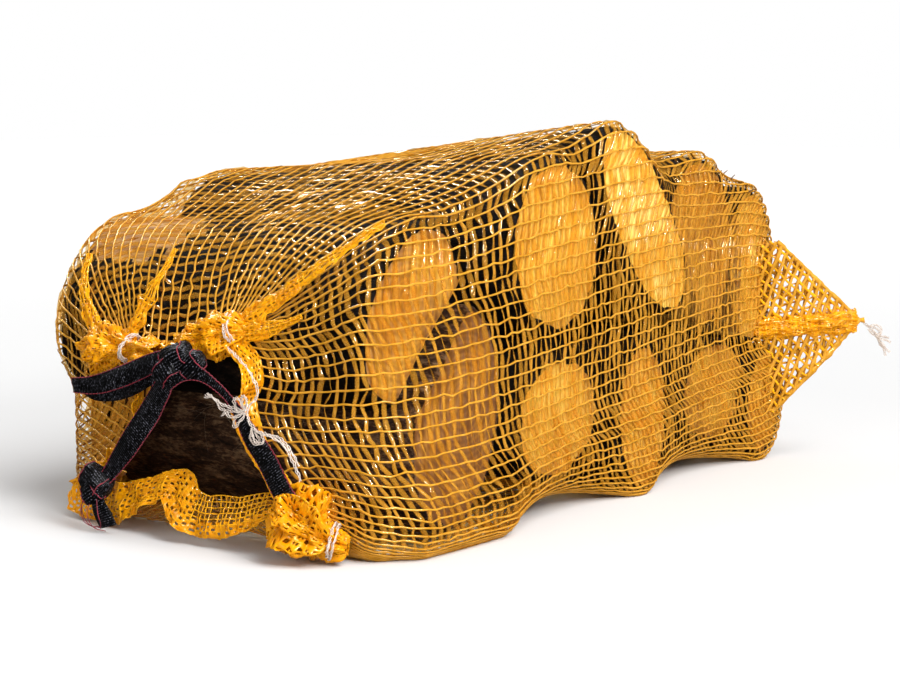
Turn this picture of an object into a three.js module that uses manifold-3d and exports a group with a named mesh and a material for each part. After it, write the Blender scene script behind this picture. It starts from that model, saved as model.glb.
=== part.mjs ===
// A net of split firewood logs lying on its side. Ten sawn logs fill a woven net bag: its drawn mouth
// is open at one end and shows the bark of a log, and its sewn corners stand out at the other end.
// Millimetres, +Z up. X runs from the mouth to the sewn end, Y runs along the logs.

import * as THREE from "three";
import { mergeVertices } from "three/addons/utils/BufferGeometryUtils.js";
import Module from "manifold-3d";

const wasm = await Module();
wasm.setup();

// Driving dimensions of the logs and of the net that wraps them
const LOG_LENGTH = 250;
const LOG_SIDES = 32;
const LOG_STEPS = 10;
const EDGE_ROUND = 8;
const BARK_RELIEF = 1.6;
const MOUTH_LOG_INSET = 6.5;
const CLEARANCE = 0.6;
const NET_STANDOFF = 1.5;
const NET_PASSES = 90;
const NET_PULL = 0.7;
const POCKET_ROUND = 18;
const FLOOR = 0;

// The inner line that the net is wrapped around, from behind the mouth to the sewn end
const WRAP_START = new THREE.Vector3(-140, 10, 62);
const WRAP_END = new THREE.Vector3(150, 4, 95);
const GIRTH_WIDTH = 270;
const GIRTH_HEIGHT = 200;
const GIRTH_STEPS = 68;
const LENGTH_STEPS = 34;
const END_STEPS = 8;
const END_TURN = 86;
const REACH = 420;
const WALK_STEPS = 60;
const WALK_PACE = 0.6;
const PROBE = 0.05;

// The drawn mouth: a gathered hem round an opening on the -X end
const MOUTH = new THREE.Vector3(-216, 12, 56);
const MOUTH_WIDTH = 112;
const MOUTH_HEIGHT = 80;
const MOUTH_DEPTH = 90;
const HEM_THICKNESS = 18;
const HEM_DEPTH = 24;
const HEM_FLOP = 12;
const HEM_WAVES = 7;
const HEM_WAVE_HEIGHT = 4;
const HEM_STEPS = 56;
const HEM_SIDES = 8;

// The flat corner ears of the sewn end
const EAR_ROOT = new THREE.Vector3(186, 112, 90);
const EAR_TIP = new THREE.Vector3(244, 167, 95);
const EAR_BASE_HEIGHT = 118;
const EAR_TIP_HEIGHT = 10;
const EAR_THICKNESS = 9;
const EAR_SWAY = 3;
const EAR_STEPS = 8;
const EAR_SHOULDER = 0.25;
const SEAM_THICKNESS = 12;
const SEAM_TIP_THICKNESS = 8;
const EAR_GAP = 1.4;

// The black drawstring and the white sewing threads
const RIBBON_WIDTH = 14;
const RIBBON_THICKNESS = 2.4;
const THREAD_THICKNESS = 2;
const CORD_SIDES = 8;
const LUMP_AROUND = 12;
const LUMP_UP = 8;

// Each log: centre of its section at the front end, half axes, lean of the long axis in degrees, middle
// along Y, rise and yaw of the back end, and the split faces as the direction they look in and their
// distance from the centre
const LOGS = [
  { x: -147, z: 72, long: 70, short: 46, lean: 81, middle: -3, rise: 0, yaw: -4, splits: [[138, 36]] },
  { x: -172, z: 131, long: 57, short: 40, lean: 58, middle: 12, rise: -8, yaw: 7, splits: [[-42, 22]] },
  { x: -55, z: 162, long: 54, short: 47, lean: 95, middle: -2, rise: -16, yaw: -26, splits: [] },
  { x: 38, z: 172, long: 74, short: 33, lean: 127, middle: -3, rise: -34, yaw: 0, splits: [] },
  { x: 122, z: 152, long: 60, short: 46, lean: 92, middle: 10, rise: -10, yaw: 10, splits: [[215, 24]] },
  { x: 180, z: 134, long: 55, short: 30, lean: 92, middle: 5, rise: 20, yaw: 8, splits: [[185, 15]] },
  { x: -51, z: 60, long: 44, short: 40, lean: 20, middle: -1, rise: 0, yaw: 0, splits: [] },
  { x: 36, z: 50, long: 50, short: 31, lean: 92, middle: -4, rise: 0, yaw: 0, splits: [] },
  { x: 139, z: 54, long: 42, short: 38, lean: 10, middle: 8, rise: 0, yaw: 0, splits: [] },
  { x: 194, z: 40, long: 40, short: 27, lean: 85, middle: 1, rise: 0, yaw: 0, splits: [] },
];

// The stretched net dips no deeper between the logs than this block: its centre and half sizes
const CORE = { centre: [16, 8, 94], half: [168, 112, 70] };

// Where the net stands fuller than the wood: centre and half sizes of each slack pocket
const SLACK_POCKETS = [
  { centre: [-152, -102, 24], half: [52, 40, 24] },
  { centre: [-192, -82, 34], half: [26, 48, 34] },
  { centre: [-194, 62, 44], half: [24, 58, 44] },
  { centre: [-104, 84, 167], half: [26, 46, 29] },
];

// Gathered bundles on the hem: centre and half sizes
const BUNDLES = [
  { centre: [-222, -8, 116], half: [12, 21, 13] },
  { centre: [-218, 74, 106], half: [12, 27, 12] },
  { centre: [-226, -84, 17], half: [15, 19, 16.5] },
  { centre: [-229, 34, 15], half: [13, 24, 14] },
];

// Knots of the drawstring: each is two crossed wraps, with half sizes, turn and shift from the knot's place
const KNOT = [-242.5, -2, 104];
const KNOT_WRAPS = [
  { half: [8, 15, 9], turn: -25, shift: [0, 0, 0] },
  { half: [7, 8, 13], turn: 20, shift: [-2, 3, -2] },
];
const END_KNOT = [-249, 61, 23];
const END_KNOT_WRAPS = [
  { half: [7, 11, 8], turn: 35, shift: [0, 0, 4] },
  { half: [5, 8, 13], turn: 15, shift: [0, -5, -7] },
];

// Routes of the drawstring and the threads, chosen by hand
const SPAN_ROUTE = [
  [-242, -21, 98], [-243, -34, 92], [-244, -46, 83], [-244, -56, 72],
  [-243, -66, 59], [-242, -75, 46], [-240, -81, 36],
];
const TAIL_ROUTE = [
  [-246, 6, 88], [-246, 14, 79], [-247, 23, 67], [-248, 32, 55], [-249, 41, 45], [-249, 48, 37],
];
const LOOP_ROUTE = [
  [-241, 16, 102], [-240, 30, 97], [-239, 46, 91], [-237, 62, 86], [-236, 76, 83], [-236, 89, 82],
];
const MOUTH_THREAD_ROUTE = [
  [-238, -36, 114], [-243, -55, 105], [-244, -64, 92], [-247.5, -60, 79], [-246, -76, 70], [-243, -93, 55],
];
const CORNER_THREAD_ROUTE = [
  [246, -168.5, 95], [252, -172, 91], [252, -177, 87], [256, -178, 83], [254, -183, 78], [258, -186, 73],
];

const PAINT = {
  net: { color: "#d9981c", roughness: 0.45, metalness: 0 },
  bark: { color: "#4a382c", roughness: 0.95, metalness: 0 },
  ribbon: { color: "#17161a", roughness: 0.6, metalness: 0 },
  thread: { color: "#efe6dd", roughness: 0.8, metalness: 0 },
};

// Distance in the section's plane from its centre to a log's outline, negative inside
function sectionDistance(log, dx, dz) {
  const lean = THREE.MathUtils.degToRad(log.lean);
  const along = dx * Math.cos(lean) + dz * Math.sin(lean);
  const across = dz * Math.cos(lean) - dx * Math.sin(lean);
  const share = Math.hypot(along / log.long, across / log.short);
  let distance = share > 0.01 ? Math.hypot(dx, dz) * (1 - 1 / share) : -log.short;
  for (const [direction, offset] of log.splits) {
    const angle = THREE.MathUtils.degToRad(direction);
    distance = Math.max(distance, dx * Math.cos(angle) + dz * Math.sin(angle) - offset);
  }
  return distance;
}

// Centre of a log's section at a place along its length
function sectionCentre(log, y) {
  const share = (y - log.middle) / LOG_LENGTH + 0.5;
  return new THREE.Vector3(log.x + log.yaw * share, y, log.z + log.rise * share);
}

// Distance to a shape bounded by several faces, with its edges rounded
function roundedDistance(faces, round) {
  const past = faces.map((distance) => distance + round);
  const outside = Math.hypot(...past.map((distance) => Math.max(distance, 0)));
  return outside + Math.min(Math.max(...past), 0) - round;
}

function logDistance(log, point) {
  const centre = sectionCentre(log, point.y);
  const side = sectionDistance(log, point.x - centre.x, point.z - centre.z);
  const end = Math.abs(point.y - log.middle) - LOG_LENGTH / 2;
  return roundedDistance([side, end], EDGE_ROUND);
}

function blockDistance({ centre, half }, point, round) {
  const faces = centre.map((middle, axis) => Math.abs(point.getComponent(axis) - middle) - half[axis]);
  return roundedDistance(faces, round);
}

// Distance to whatever holds the net out: wood, slack pockets and core
function fillDistance(point) {
  const wood = LOGS.map((log) => logDistance(log, point));
  const slack = SLACK_POCKETS.map((pocket) => blockDistance(pocket, point, POCKET_ROUND));
  return Math.min(...wood, ...slack, blockDistance(CORE, point, EDGE_ROUND));
}

// Moves a point straight out of the fill until it stands off by the net's gap, and keeps it off the floor
function heldOut(point) {
  const distance = fillDistance(point);
  if (distance < NET_STANDOFF) {
    const slope = new THREE.Vector3();
    for (let axis = 0; axis < 3; axis += 1) {
      const beside = point.clone();
      beside.setComponent(axis, beside.getComponent(axis) + PROBE);
      slope.setComponent(axis, fillDistance(beside) - distance);
    }
    point.addScaledVector(slope.normalize(), NET_STANDOFF - distance);
  }
  point.z = Math.max(point.z, FLOOR);
  return point;
}

// The point of the fill's outside on a ray from within, found by walking in from outside
function outerPoint(origin, direction) {
  const point = new THREE.Vector3();
  let reach = REACH;
  for (let step = 0; step < WALK_STEPS; step += 1) {
    point.copy(origin).addScaledVector(direction, reach);
    reach = Math.max(reach - WALK_PACE * (fillDistance(point) - NET_STANDOFF), 0);
  }
  return point;
}

// Pulls the rings taut like a stretched net: each point settles between its neighbours unless held out
function pulledTaut(rings) {
  let taut = rings;
  for (let pass = 0; pass < NET_PASSES; pass += 1) {
    const before = taut;
    taut = before.map((ring, row) => ring.map((point, side) => {
      const sides = ring.length;
      const beside = [ring[(side + 1) % sides], ring[(side + sides - 1) % sides]];
      const along = [before[row - 1]?.[side] ?? point, before[row + 1]?.[side] ?? point];
      const middle = [...beside, ...along].reduce((sum, near) => sum.add(near), new THREE.Vector3());
      return heldOut(point.clone().lerp(middle.divideScalar(4), NET_PULL));
    }));
  }
  return taut;
}

// A direction around the bag, evenly spread along the outline of its girth
function girthDirection(share) {
  const walk = share * 2 * (GIRTH_WIDTH + GIRTH_HEIGHT);
  const corner = new THREE.Vector3(0, -GIRTH_WIDTH / 2, -GIRTH_HEIGHT / 2);
  corner.y += Math.min(walk, GIRTH_WIDTH);
  corner.z += THREE.MathUtils.clamp(walk - GIRTH_WIDTH, 0, GIRTH_HEIGHT);
  corner.y -= THREE.MathUtils.clamp(walk - GIRTH_WIDTH - GIRTH_HEIGHT, 0, GIRTH_WIDTH);
  corner.z -= Math.max(walk - 2 * GIRTH_WIDTH - GIRTH_HEIGHT, 0);
  return corner.normalize();
}

function evenly(count, make) {
  return Array.from({ length: count }, (_, index) => make(index / count));
}

// A closed solid through rings of points, capped by a fan at both ends or joined into a hoop
function loft(rings, hoop = false) {
  const sides = rings[0].length;
  const points = rings.flat();
  const faces = [];
  const spans = hoop ? rings.length : rings.length - 1;
  for (let ring = 0; ring < spans; ring += 1) {
    const here = ring * sides;
    const next = ((ring + 1) % rings.length) * sides;
    for (let side = 0; side < sides; side += 1) {
      const beside = (side + 1) % sides;
      faces.push(here + side, here + beside, next + side);
      faces.push(next + side, here + beside, next + beside);
    }
  }
  if (!hoop) {
    for (const [ring, start] of [[rings[0], 0], [rings.at(-1), (rings.length - 1) * sides]]) {
      const middle = ring.reduce((sum, point) => sum.add(point), new THREE.Vector3()).divideScalar(sides);
      points.push(middle);
      for (let side = 0; side < sides; side += 1) {
        const beside = (side + 1) % sides;
        const corners = [start + side, start + beside, points.length - 1];
        faces.push(...(start === 0 ? corners.reverse() : corners));
      }
    }
  }
  const geometry = new THREE.BufferGeometry().setFromPoints(points);
  geometry.setIndex(faces);
  return facingOut(geometry);
}

// Turns the faces round where they enclose a negative volume
function facingOut(geometry) {
  const position = geometry.getAttribute("position");
  const order = geometry.getIndex().array;
  const corners = [new THREE.Vector3(), new THREE.Vector3(), new THREE.Vector3()];
  let volume = 0;
  for (let face = 0; face < order.length; face += 3) {
    corners.forEach((corner, index) => corner.fromBufferAttribute(position, order[face + index]));
    volume += corners[0].dot(corners[1].clone().cross(corners[2]));
  }
  if (volume < 0) {
    geometry.setIndex(Array.from(order).reverse());
  }
  return geometry;
}

function solid(geometry) {
  const bare = geometry.clone();
  bare.deleteAttribute("normal");
  bare.deleteAttribute("uv");
  const merged = mergeVertices(bare, 1e-4);
  return new wasm.Manifold(new wasm.Mesh({
    numProp: 3,
    vertProperties: new Float32Array(merged.getAttribute("position").array),
    triVerts: new Uint32Array(merged.getIndex().array),
  }));
}

function geometryOf(body) {
  const mesh = body.getMesh();
  const geometry = new THREE.BufferGeometry();
  geometry.setAttribute("position", new THREE.BufferAttribute(new Float32Array(mesh.vertProperties), 3));
  geometry.setIndex(Array.from(mesh.triVerts));
  return geometry;
}

function lump({ centre, half }) {
  const ball = new THREE.SphereGeometry(1, LUMP_AROUND, LUMP_UP).rotateX(Math.PI / 2);
  return ball.scale(...half).translate(...centre);
}

// The wrapped body of the net, as rings from the mouth end to the sewn end
function wrappedNet() {
  const girth = evenly(GIRTH_STEPS, girthDirection);
  const stations = [];
  for (let step = 1; step <= END_STEPS; step += 1) {
    stations.push({ share: 0, tilt: -(1 - step / END_STEPS) });
  }
  for (let step = 1; step < LENGTH_STEPS; step += 1) {
    stations.push({ share: step / LENGTH_STEPS, tilt: 0 });
  }
  for (let step = 0; step < END_STEPS; step += 1) {
    stations.push({ share: 1, tilt: step / END_STEPS });
  }
  const rings = stations.map(({ share, tilt }) => {
    const origin = WRAP_START.clone().lerp(WRAP_END, share);
    const turn = tilt * THREE.MathUtils.degToRad(END_TURN);
    return girth.map((outward) => {
      const direction = outward.clone().multiplyScalar(Math.cos(turn));
      direction.x += Math.sin(turn);
      return outerPoint(origin, direction.normalize());
    });
  });
  return loft(pulledTaut(rings));
}

// The gathered hem: a wavy roll round the mouth that flops outwards at its foot
function hemRoll() {
  const rings = evenly(HEM_STEPS, (share) => {
    const angle = share * 2 * Math.PI;
    const wave = HEM_WAVE_HEIGHT * Math.sin(HEM_WAVES * angle);
    const half = (HEM_THICKNESS + 0.5 * wave) / 2;
    const middle = new THREE.Vector3(
      MOUTH.x - (HEM_FLOP * (1 - Math.sin(angle))) / 2 + wave,
      MOUTH.y + ((MOUTH_WIDTH + HEM_THICKNESS) / 2) * Math.cos(angle),
      MOUTH.z + ((MOUTH_HEIGHT + HEM_THICKNESS / 2) / 2) * Math.sin(angle),
    );
    const outward = new THREE.Vector3(0, Math.cos(angle), Math.sin(angle));
    return evenly(HEM_SIDES, (side) => {
      const turn = side * 2 * Math.PI;
      const point = middle.clone().addScaledVector(outward, half * Math.cos(turn));
      point.x += (HEM_DEPTH / 2) * Math.sin(turn);
      point.z = Math.max(point.z, FLOOR);
      return point;
    });
  });
  return loft(rings, true);
}

function mouthHollow() {
  const tunnel = new THREE.CylinderGeometry(1, 1, MOUTH_DEPTH, 32);
  tunnel.rotateZ(Math.PI / 2).scale(1, MOUTH_WIDTH / 2, MOUTH_HEIGHT / 2);
  return tunnel.translate(MOUTH.x, MOUTH.y, MOUTH.z);
}

// A flattened corner of the bag: a thin wedge with the rolled seam along its middle, fitted to the body
function cornerEar(side, body) {
  const onSide = new THREE.Vector3(1, side, 1);
  const root = EAR_ROOT.clone().multiply(onSide);
  const tip = EAR_TIP.clone().multiply(onSide);
  const across = new THREE.Vector3(0, 0, 1).cross(tip.clone().sub(root)).normalize();
  const outline = [[-0.5, -1], [0.5, -1], [0.5, 0], [0.5, 1], [-0.5, 1], [-0.5, 0]];
  const rings = [];
  const seam = [];
  for (let step = 0; step <= EAR_STEPS; step += 1) {
    const share = step / EAR_STEPS;
    const middle = root.clone().lerp(tip, share);
    const fall = Math.max(share - EAR_SHOULDER, 0) / (1 - EAR_SHOULDER);
    const half = THREE.MathUtils.lerp(EAR_BASE_HEIGHT, EAR_TIP_HEIGHT, fall) / 2;
    const radius = THREE.MathUtils.lerp(SEAM_THICKNESS, SEAM_TIP_THICKNESS, share) / 2;
    const sway = EAR_SWAY * Math.sin(share * Math.PI * 2);
    rings.push(outline.map(([thick, height]) => {
      const point = middle.clone().addScaledVector(across, thick * EAR_THICKNESS + sway * height);
      point.z += half * height;
      return point;
    }));
    seam.push(evenly(CORD_SIDES, (turn) => {
      const angle = turn * 2 * Math.PI;
      const point = middle.clone().addScaledVector(across, radius * Math.cos(angle));
      point.z += radius * Math.sin(angle);
      return point;
    }));
  }
  const gaps = [[1, 0, 0], [0, side, 0], [0, 0, 1], [0, 0, -1]];
  return gaps
    .map((gap) => solid(body.clone().translate(...gap.map((part) => part * EAR_GAP))))
    .reduce((ear, room) => ear.subtract(room), solid(loft(rings)).add(solid(loft(seam))));
}

// A log with its sawn ends along Y and the plates of its bark as shallow relief
function barkedLog(log, grow, relief) {
  const rings = [];
  for (let step = 0; step <= LOG_STEPS; step += 1) {
    const y = log.middle + (step / LOG_STEPS - 0.5) * (LOG_LENGTH + 2 * grow);
    rings.push(evenly(LOG_SIDES, (share) => {
      const angle = share * 2 * Math.PI;
      const outward = new THREE.Vector3(Math.cos(angle), 0, Math.sin(angle));
      let reach = log.long + log.short;
      for (let walk = 0; walk < WALK_STEPS; walk += 1) {
        reach -= WALK_PACE * sectionDistance(log, reach * outward.x, reach * outward.z);
      }
      const plates = relief * (Math.sin(9 * angle + 0.9 * step) + Math.sin(4 * angle - 1.7 * step)) / 2;
      return outward.multiplyScalar(reach + grow - relief + plates).add(sectionCentre(log, y));
    }));
  }
  return loft(rings);
}

// A flat or round cord along a hand-chosen route; a flat one faces out of the mouth
function cordAlong(route, width, thickness, steps) {
  const curve = new THREE.CatmullRomCurve3(route.map((point) => new THREE.Vector3(...point)));
  const facing = new THREE.Vector3(-1, 0, 0);
  const rings = [];
  for (let step = 0; step <= steps; step += 1) {
    const middle = curve.getPointAt(step / steps);
    const tangent = curve.getTangentAt(step / steps);
    const across = tangent.clone().cross(facing).normalize();
    const outward = across.clone().cross(tangent).normalize();
    rings.push(evenly(CORD_SIDES, (side) => {
      const angle = (side + 0.5 / CORD_SIDES) * 2 * Math.PI;
      const point = middle.clone().addScaledVector(across, (width / 2) * Math.cos(angle));
      return point.addScaledVector(outward, (thickness / 2) * Math.sin(angle));
    }));
  }
  return loft(rings);
}

// A knot: crossed wraps of ribbon fused into one lump
function knotLump(centre, wraps) {
  return wraps
    .map(({ half, turn, shift }) => {
      const wrap = new THREE.SphereGeometry(1, LUMP_AROUND, LUMP_UP).scale(...half);
      wrap.rotateX(THREE.MathUtils.degToRad(turn));
      return solid(wrap.translate(...shift.map((value, axis) => value + centre[axis])));
    })
    .reduce((knot, wrap) => knot.add(wrap));
}

function netBag(body) {
  const [mouthLog] = LOGS;
  const gathered = BUNDLES.map((bundle) => solid(lump(bundle)));
  const whole = [solid(hemRoll()), ...gathered].reduce((bag, piece) => bag.add(piece), solid(body));
  const logSpace = solid(barkedLog(mouthLog, CLEARANCE - MOUTH_LOG_INSET, 0));
  return whole.subtract(solid(mouthHollow())).subtract(logSpace);
}

const object = new THREE.Group();

function place(name, geometry, paint) {
  const mesh = new THREE.Mesh(geometry, new THREE.MeshStandardMaterial(paint));
  mesh.name = name;
  object.add(mesh);
}

const body = wrappedNet();
place("net_bag", geometryOf(netBag(body)), PAINT.net);
place("corner_ear_front", geometryOf(cornerEar(-1, body)), PAINT.net);
place("corner_ear_back", geometryOf(cornerEar(1, body)), PAINT.net);
place("log_at_mouth", barkedLog(LOGS[0], -MOUTH_LOG_INSET, BARK_RELIEF), PAINT.bark);
place("drawstring_knot", geometryOf(knotLump(KNOT, KNOT_WRAPS)), PAINT.ribbon);
place("drawstring_span", cordAlong(SPAN_ROUTE, RIBBON_WIDTH, RIBBON_THICKNESS, 14), PAINT.ribbon);
place("drawstring_tail", cordAlong(TAIL_ROUTE, RIBBON_WIDTH, RIBBON_THICKNESS, 12), PAINT.ribbon);
place("drawstring_loop", cordAlong(LOOP_ROUTE, RIBBON_WIDTH, 2 * RIBBON_THICKNESS, 12), PAINT.ribbon);
place("drawstring_end_knot", geometryOf(knotLump(END_KNOT, END_KNOT_WRAPS)), PAINT.ribbon);
place("mouth_thread", cordAlong(MOUTH_THREAD_ROUTE, THREAD_THICKNESS, THREAD_THICKNESS, 24), PAINT.thread);
place("corner_thread", cordAlong(CORNER_THREAD_ROUTE, THREAD_THICKNESS, THREAD_THICKNESS, 14), PAINT.thread);

// The origin sits on the floor under the middle of the bag and its ears
const bagBox = new THREE.Box3();
for (const name of ["net_bag", "corner_ear_front", "corner_ear_back"]) {
  bagBox.expandByObject(object.getObjectByName(name));
}
const bagMiddle = bagBox.getCenter(new THREE.Vector3());
object.position.set(-bagMiddle.x, -bagMiddle.y, -bagBox.min.z);

export default object;
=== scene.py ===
# %% [markdown]
# A net of firewood lies on its side: ten split logs in a bag woven from flat amber tape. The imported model
# holds the bag as one plain solid. This lesson opens that solid up again: it puts the logs inside, weaves
# the net over them strand by strand, and ties the mouth with its ribbon and its sewing thread.

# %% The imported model
import math

import bpy
import numpy as np
from mathutils import Matrix, Vector, noise


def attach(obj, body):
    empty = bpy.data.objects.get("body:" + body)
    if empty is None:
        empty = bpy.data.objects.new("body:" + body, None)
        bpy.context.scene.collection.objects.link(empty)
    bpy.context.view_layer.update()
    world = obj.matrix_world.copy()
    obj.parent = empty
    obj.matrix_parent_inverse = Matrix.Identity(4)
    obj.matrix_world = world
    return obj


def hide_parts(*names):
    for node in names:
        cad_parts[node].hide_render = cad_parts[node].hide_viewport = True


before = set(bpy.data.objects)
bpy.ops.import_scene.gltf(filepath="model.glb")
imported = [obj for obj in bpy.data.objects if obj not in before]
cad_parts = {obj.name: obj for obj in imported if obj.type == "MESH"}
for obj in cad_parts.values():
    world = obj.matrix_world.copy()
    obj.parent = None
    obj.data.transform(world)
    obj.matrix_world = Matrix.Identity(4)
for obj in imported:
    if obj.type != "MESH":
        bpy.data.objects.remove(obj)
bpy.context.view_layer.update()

MM = 0.001
BAG_SHIFT = np.array([-1.845, 0.0, 0.0])
print("nodes", sorted(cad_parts))


# %% [markdown]
# Every size below is in millimetres, measured from the point on the floor that the bag was drawn around.
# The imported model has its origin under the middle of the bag, so one small function shifts the points and
# turns them to metres. A mesh made by it sits at the origin, with its place in its points. Four more put
# an object in the scene, make it a piece of the model, store values on a mesh's points, and keep the mesh
# that an object's modifiers make.

# %% From millimetres to the model's frame
def in_frame(points):
    """Points of the bag in millimetres, as metres in the model's frame."""
    return (np.asarray(points, float) + BAG_SHIFT) * MM


def placed(name, data):
    """An object in the scene that holds a mesh, a light or a camera."""
    holder = bpy.data.objects.new(name, data)
    bpy.context.scene.collection.objects.link(holder)
    return holder


def new_piece(name, mesh):
    """Puts a finished mesh in the scene and lets it ride on the bag."""
    piece = placed(name, mesh)
    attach(piece, "root")
    return piece


def store(mesh, name, values):
    """Stores a number or a vector on each point of a mesh, for a material or a node tree to read."""
    values = np.asarray(values, np.float32)
    kind, field = ("FLOAT", "value") if values.ndim == 1 else ("FLOAT_VECTOR", "vector")
    mesh.attributes.new(name, kind, "POINT").data.foreach_set(field, values.ravel())


def as_modified(name, holder):
    """The smooth mesh that an object's modifiers make; the object and its bare mesh go."""
    view = bpy.context.evaluated_depsgraph_get()
    mesh = bpy.data.meshes.new_from_object(holder.evaluated_get(view), depsgraph=view)
    bare = holder.data
    bpy.data.objects.remove(holder)
    bpy.data.meshes.remove(bare)
    mesh.name = name
    mesh.shade_smooth()
    return mesh


# %% [markdown]
# The camera comes first, because everything else is judged through it. It looks at the drawn mouth and at
# the sawn log ends from a little above the floor, through a long lens, as a product photograph does.

# %% Camera
AZIMUTH = math.radians(-51.6)
ELEVATION = math.radians(7.0)
DISTANCE = 1287
AIM = np.array([-69.0, -58.0, 105.0])
LENS = 85

away = np.array([
    math.sin(AZIMUTH) * math.cos(ELEVATION),
    -math.cos(AZIMUTH) * math.cos(ELEVATION),
    math.sin(ELEVATION),
])
right = np.array([math.cos(AZIMUTH), math.sin(AZIMUTH), 0.0])
camera = placed("camera", bpy.data.cameras.new("camera"))
camera.data.lens = LENS
camera.data.clip_end = 50
stand = Matrix([right, np.cross(away, right), away]).transposed().to_4x4()
stand.translation = Vector(in_frame(AIM + away * DISTANCE))
camera.matrix_world = stand
bpy.context.scene.camera = camera
print("camera at", [round(value, 3) for value in stand.translation])


# %% [markdown]
# Materials are written as short lists of nodes. One function adds a node, sets it up and links it, and one
# turns the sRGB colours that are read off a screen into the linear colours that a shader needs. A third
# makes a material: it hands an empty tree to the function that fills it, and shows the shader it gets back.

# %% Colour and node helpers
def linear(code):
    """An sRGB hex colour as linear red, green, blue and alpha."""
    parts = [int(code[place:place + 2], 16) / 255 for place in (1, 3, 5)]
    bent = [part / 12.92 if part <= 0.04045 else ((part + 0.055) / 1.055) ** 2.4 for part in parts]
    return (*bent, 1.0)


def add(tree, kind, inputs=None, steps=(), **settings):
    """Adds one node: inputs are values or the sockets linked to it, steps are the places and hex colours of
    a ramp, and settings are the node's own properties."""
    node = tree.nodes.new(kind)
    for name, value in settings.items():
        setattr(node, name, value)
    for name, value in (inputs or {}).items():
        if isinstance(value, bpy.types.NodeSocket):
            tree.links.new(value, node.inputs[name])
        else:
            node.inputs[name].default_value = value
    if steps:
        band = node.color_ramp.elements
        while len(band) < len(steps):
            band.new(0.5)
        for element, (place, code) in zip(band, steps):
            element.position = place
            element.color = linear(code)
    return node


def new_material(name, fill, *values, **named_values):
    """A material whose tree is filled by a function that gives back its last shader."""
    material = bpy.data.materials.new(name)
    material.use_nodes = True
    tree = material.node_tree
    tree.nodes.clear()
    shader = fill(tree, *values, **named_values)
    add(tree, "ShaderNodeOutputMaterial", {"Surface": shader.outputs[0]})
    return material


# %% [markdown]
# The drawstring is a black synthetic ribbon, woven with ribs across and a red thread along each edge. White
# sewing thread ties the hem. Both are soft textiles: rough, with a small gloss; the light on the ribbon's
# ribs and its bright flecks are painted highlights in its colour.

# %% Ribbon and thread materials
RIB_PITCH = 1.4


def woven_ribbon(tree):
    """Black woven polyester ribbon: nearly black, with painted highlights in its colour on the rib crests and
    bright flecks as painted glints.
    """
    place = add(tree, "ShaderNodeTexCoord").outputs["Object"]
    glint_fleck = add(tree, "ShaderNodeTexNoise", {"Vector": place, "Scale": 1 / (1.1 * MM), "Detail": 2.0})
    walk = add(tree, "ShaderNodeAttribute", attribute_name="along").outputs["Fac"]
    turn = add(tree, "ShaderNodeMath", {0: walk, 1: 2 * math.pi / RIB_PITCH}, operation="MULTIPLY")
    rib = add(tree, "ShaderNodeMath", {0: turn.outputs[0]}, operation="SINE")
    rib_height_and_highlight = add(tree, "ShaderNodeMath", {0: rib.outputs[0], 1: 0.2, 2: glint_fleck.outputs["Fac"]},
                 operation="MULTIPLY_ADD").outputs[0]
    # The grey top of this ramp is a painted highlight: light on the rib crests and glints on the flecks.
    colour = add(tree, "ShaderNodeValToRGB", {"Fac": rib_height_and_highlight},
                 steps=[(0.5, "#020203"), (0.68, "#08080a"), (0.92, "#7c7c88")])
    bump = add(tree, "ShaderNodeBump", {"Height": rib_height_and_highlight, "Strength": 0.8, "Distance": 0.5 * MM})
    return add(tree, "ShaderNodeBsdfPrincipled", {
        "Base Color": colour.outputs["Color"], "Roughness": 0.4, "Specular IOR Level": 0.08,
        "Normal": bump.outputs["Normal"],
    })


def plain_thread(tree, dark, light, roughness):
    """Twisted spun thread: a matt fibre with soft light and dark flecks along its twist."""
    place = add(tree, "ShaderNodeTexCoord").outputs["Object"]
    fibre = add(tree, "ShaderNodeTexNoise", {"Vector": place, "Scale": 1 / (0.8 * MM), "Detail": 3.0})
    colour = add(tree, "ShaderNodeValToRGB", {"Fac": fibre.outputs["Fac"]},
                 steps=[(0.3, dark), (0.65, light)])
    bump = add(tree, "ShaderNodeBump",
               {"Height": fibre.outputs["Fac"], "Strength": 0.6, "Distance": 0.2 * MM})
    return add(tree, "ShaderNodeBsdfPrincipled", {
        "Base Color": colour.outputs["Color"], "Roughness": roughness, "Normal": bump.outputs["Normal"],
    })


RIBBON = new_material("woven_polyester_ribbon", woven_ribbon)
RED_THREAD = new_material("red_edge_thread", plain_thread, "#4a0612", "#981230", 0.8)
WHITE_THREAD = new_material("white_cotton_thread", plain_thread, "#b4a294", "#e8ddd2", 0.9)
print("materials", RIBBON.name, RED_THREAD.name, WHITE_THREAD.name)


# %% [markdown]
# Ribbons, threads and all the net's strands are one thing to a modeller: a small section that follows a
# line. A geometry node tree does that for all of them. It takes bare polylines, reads which way each point
# faces and how wide it is there, and sweeps a flat or round section along them.

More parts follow.
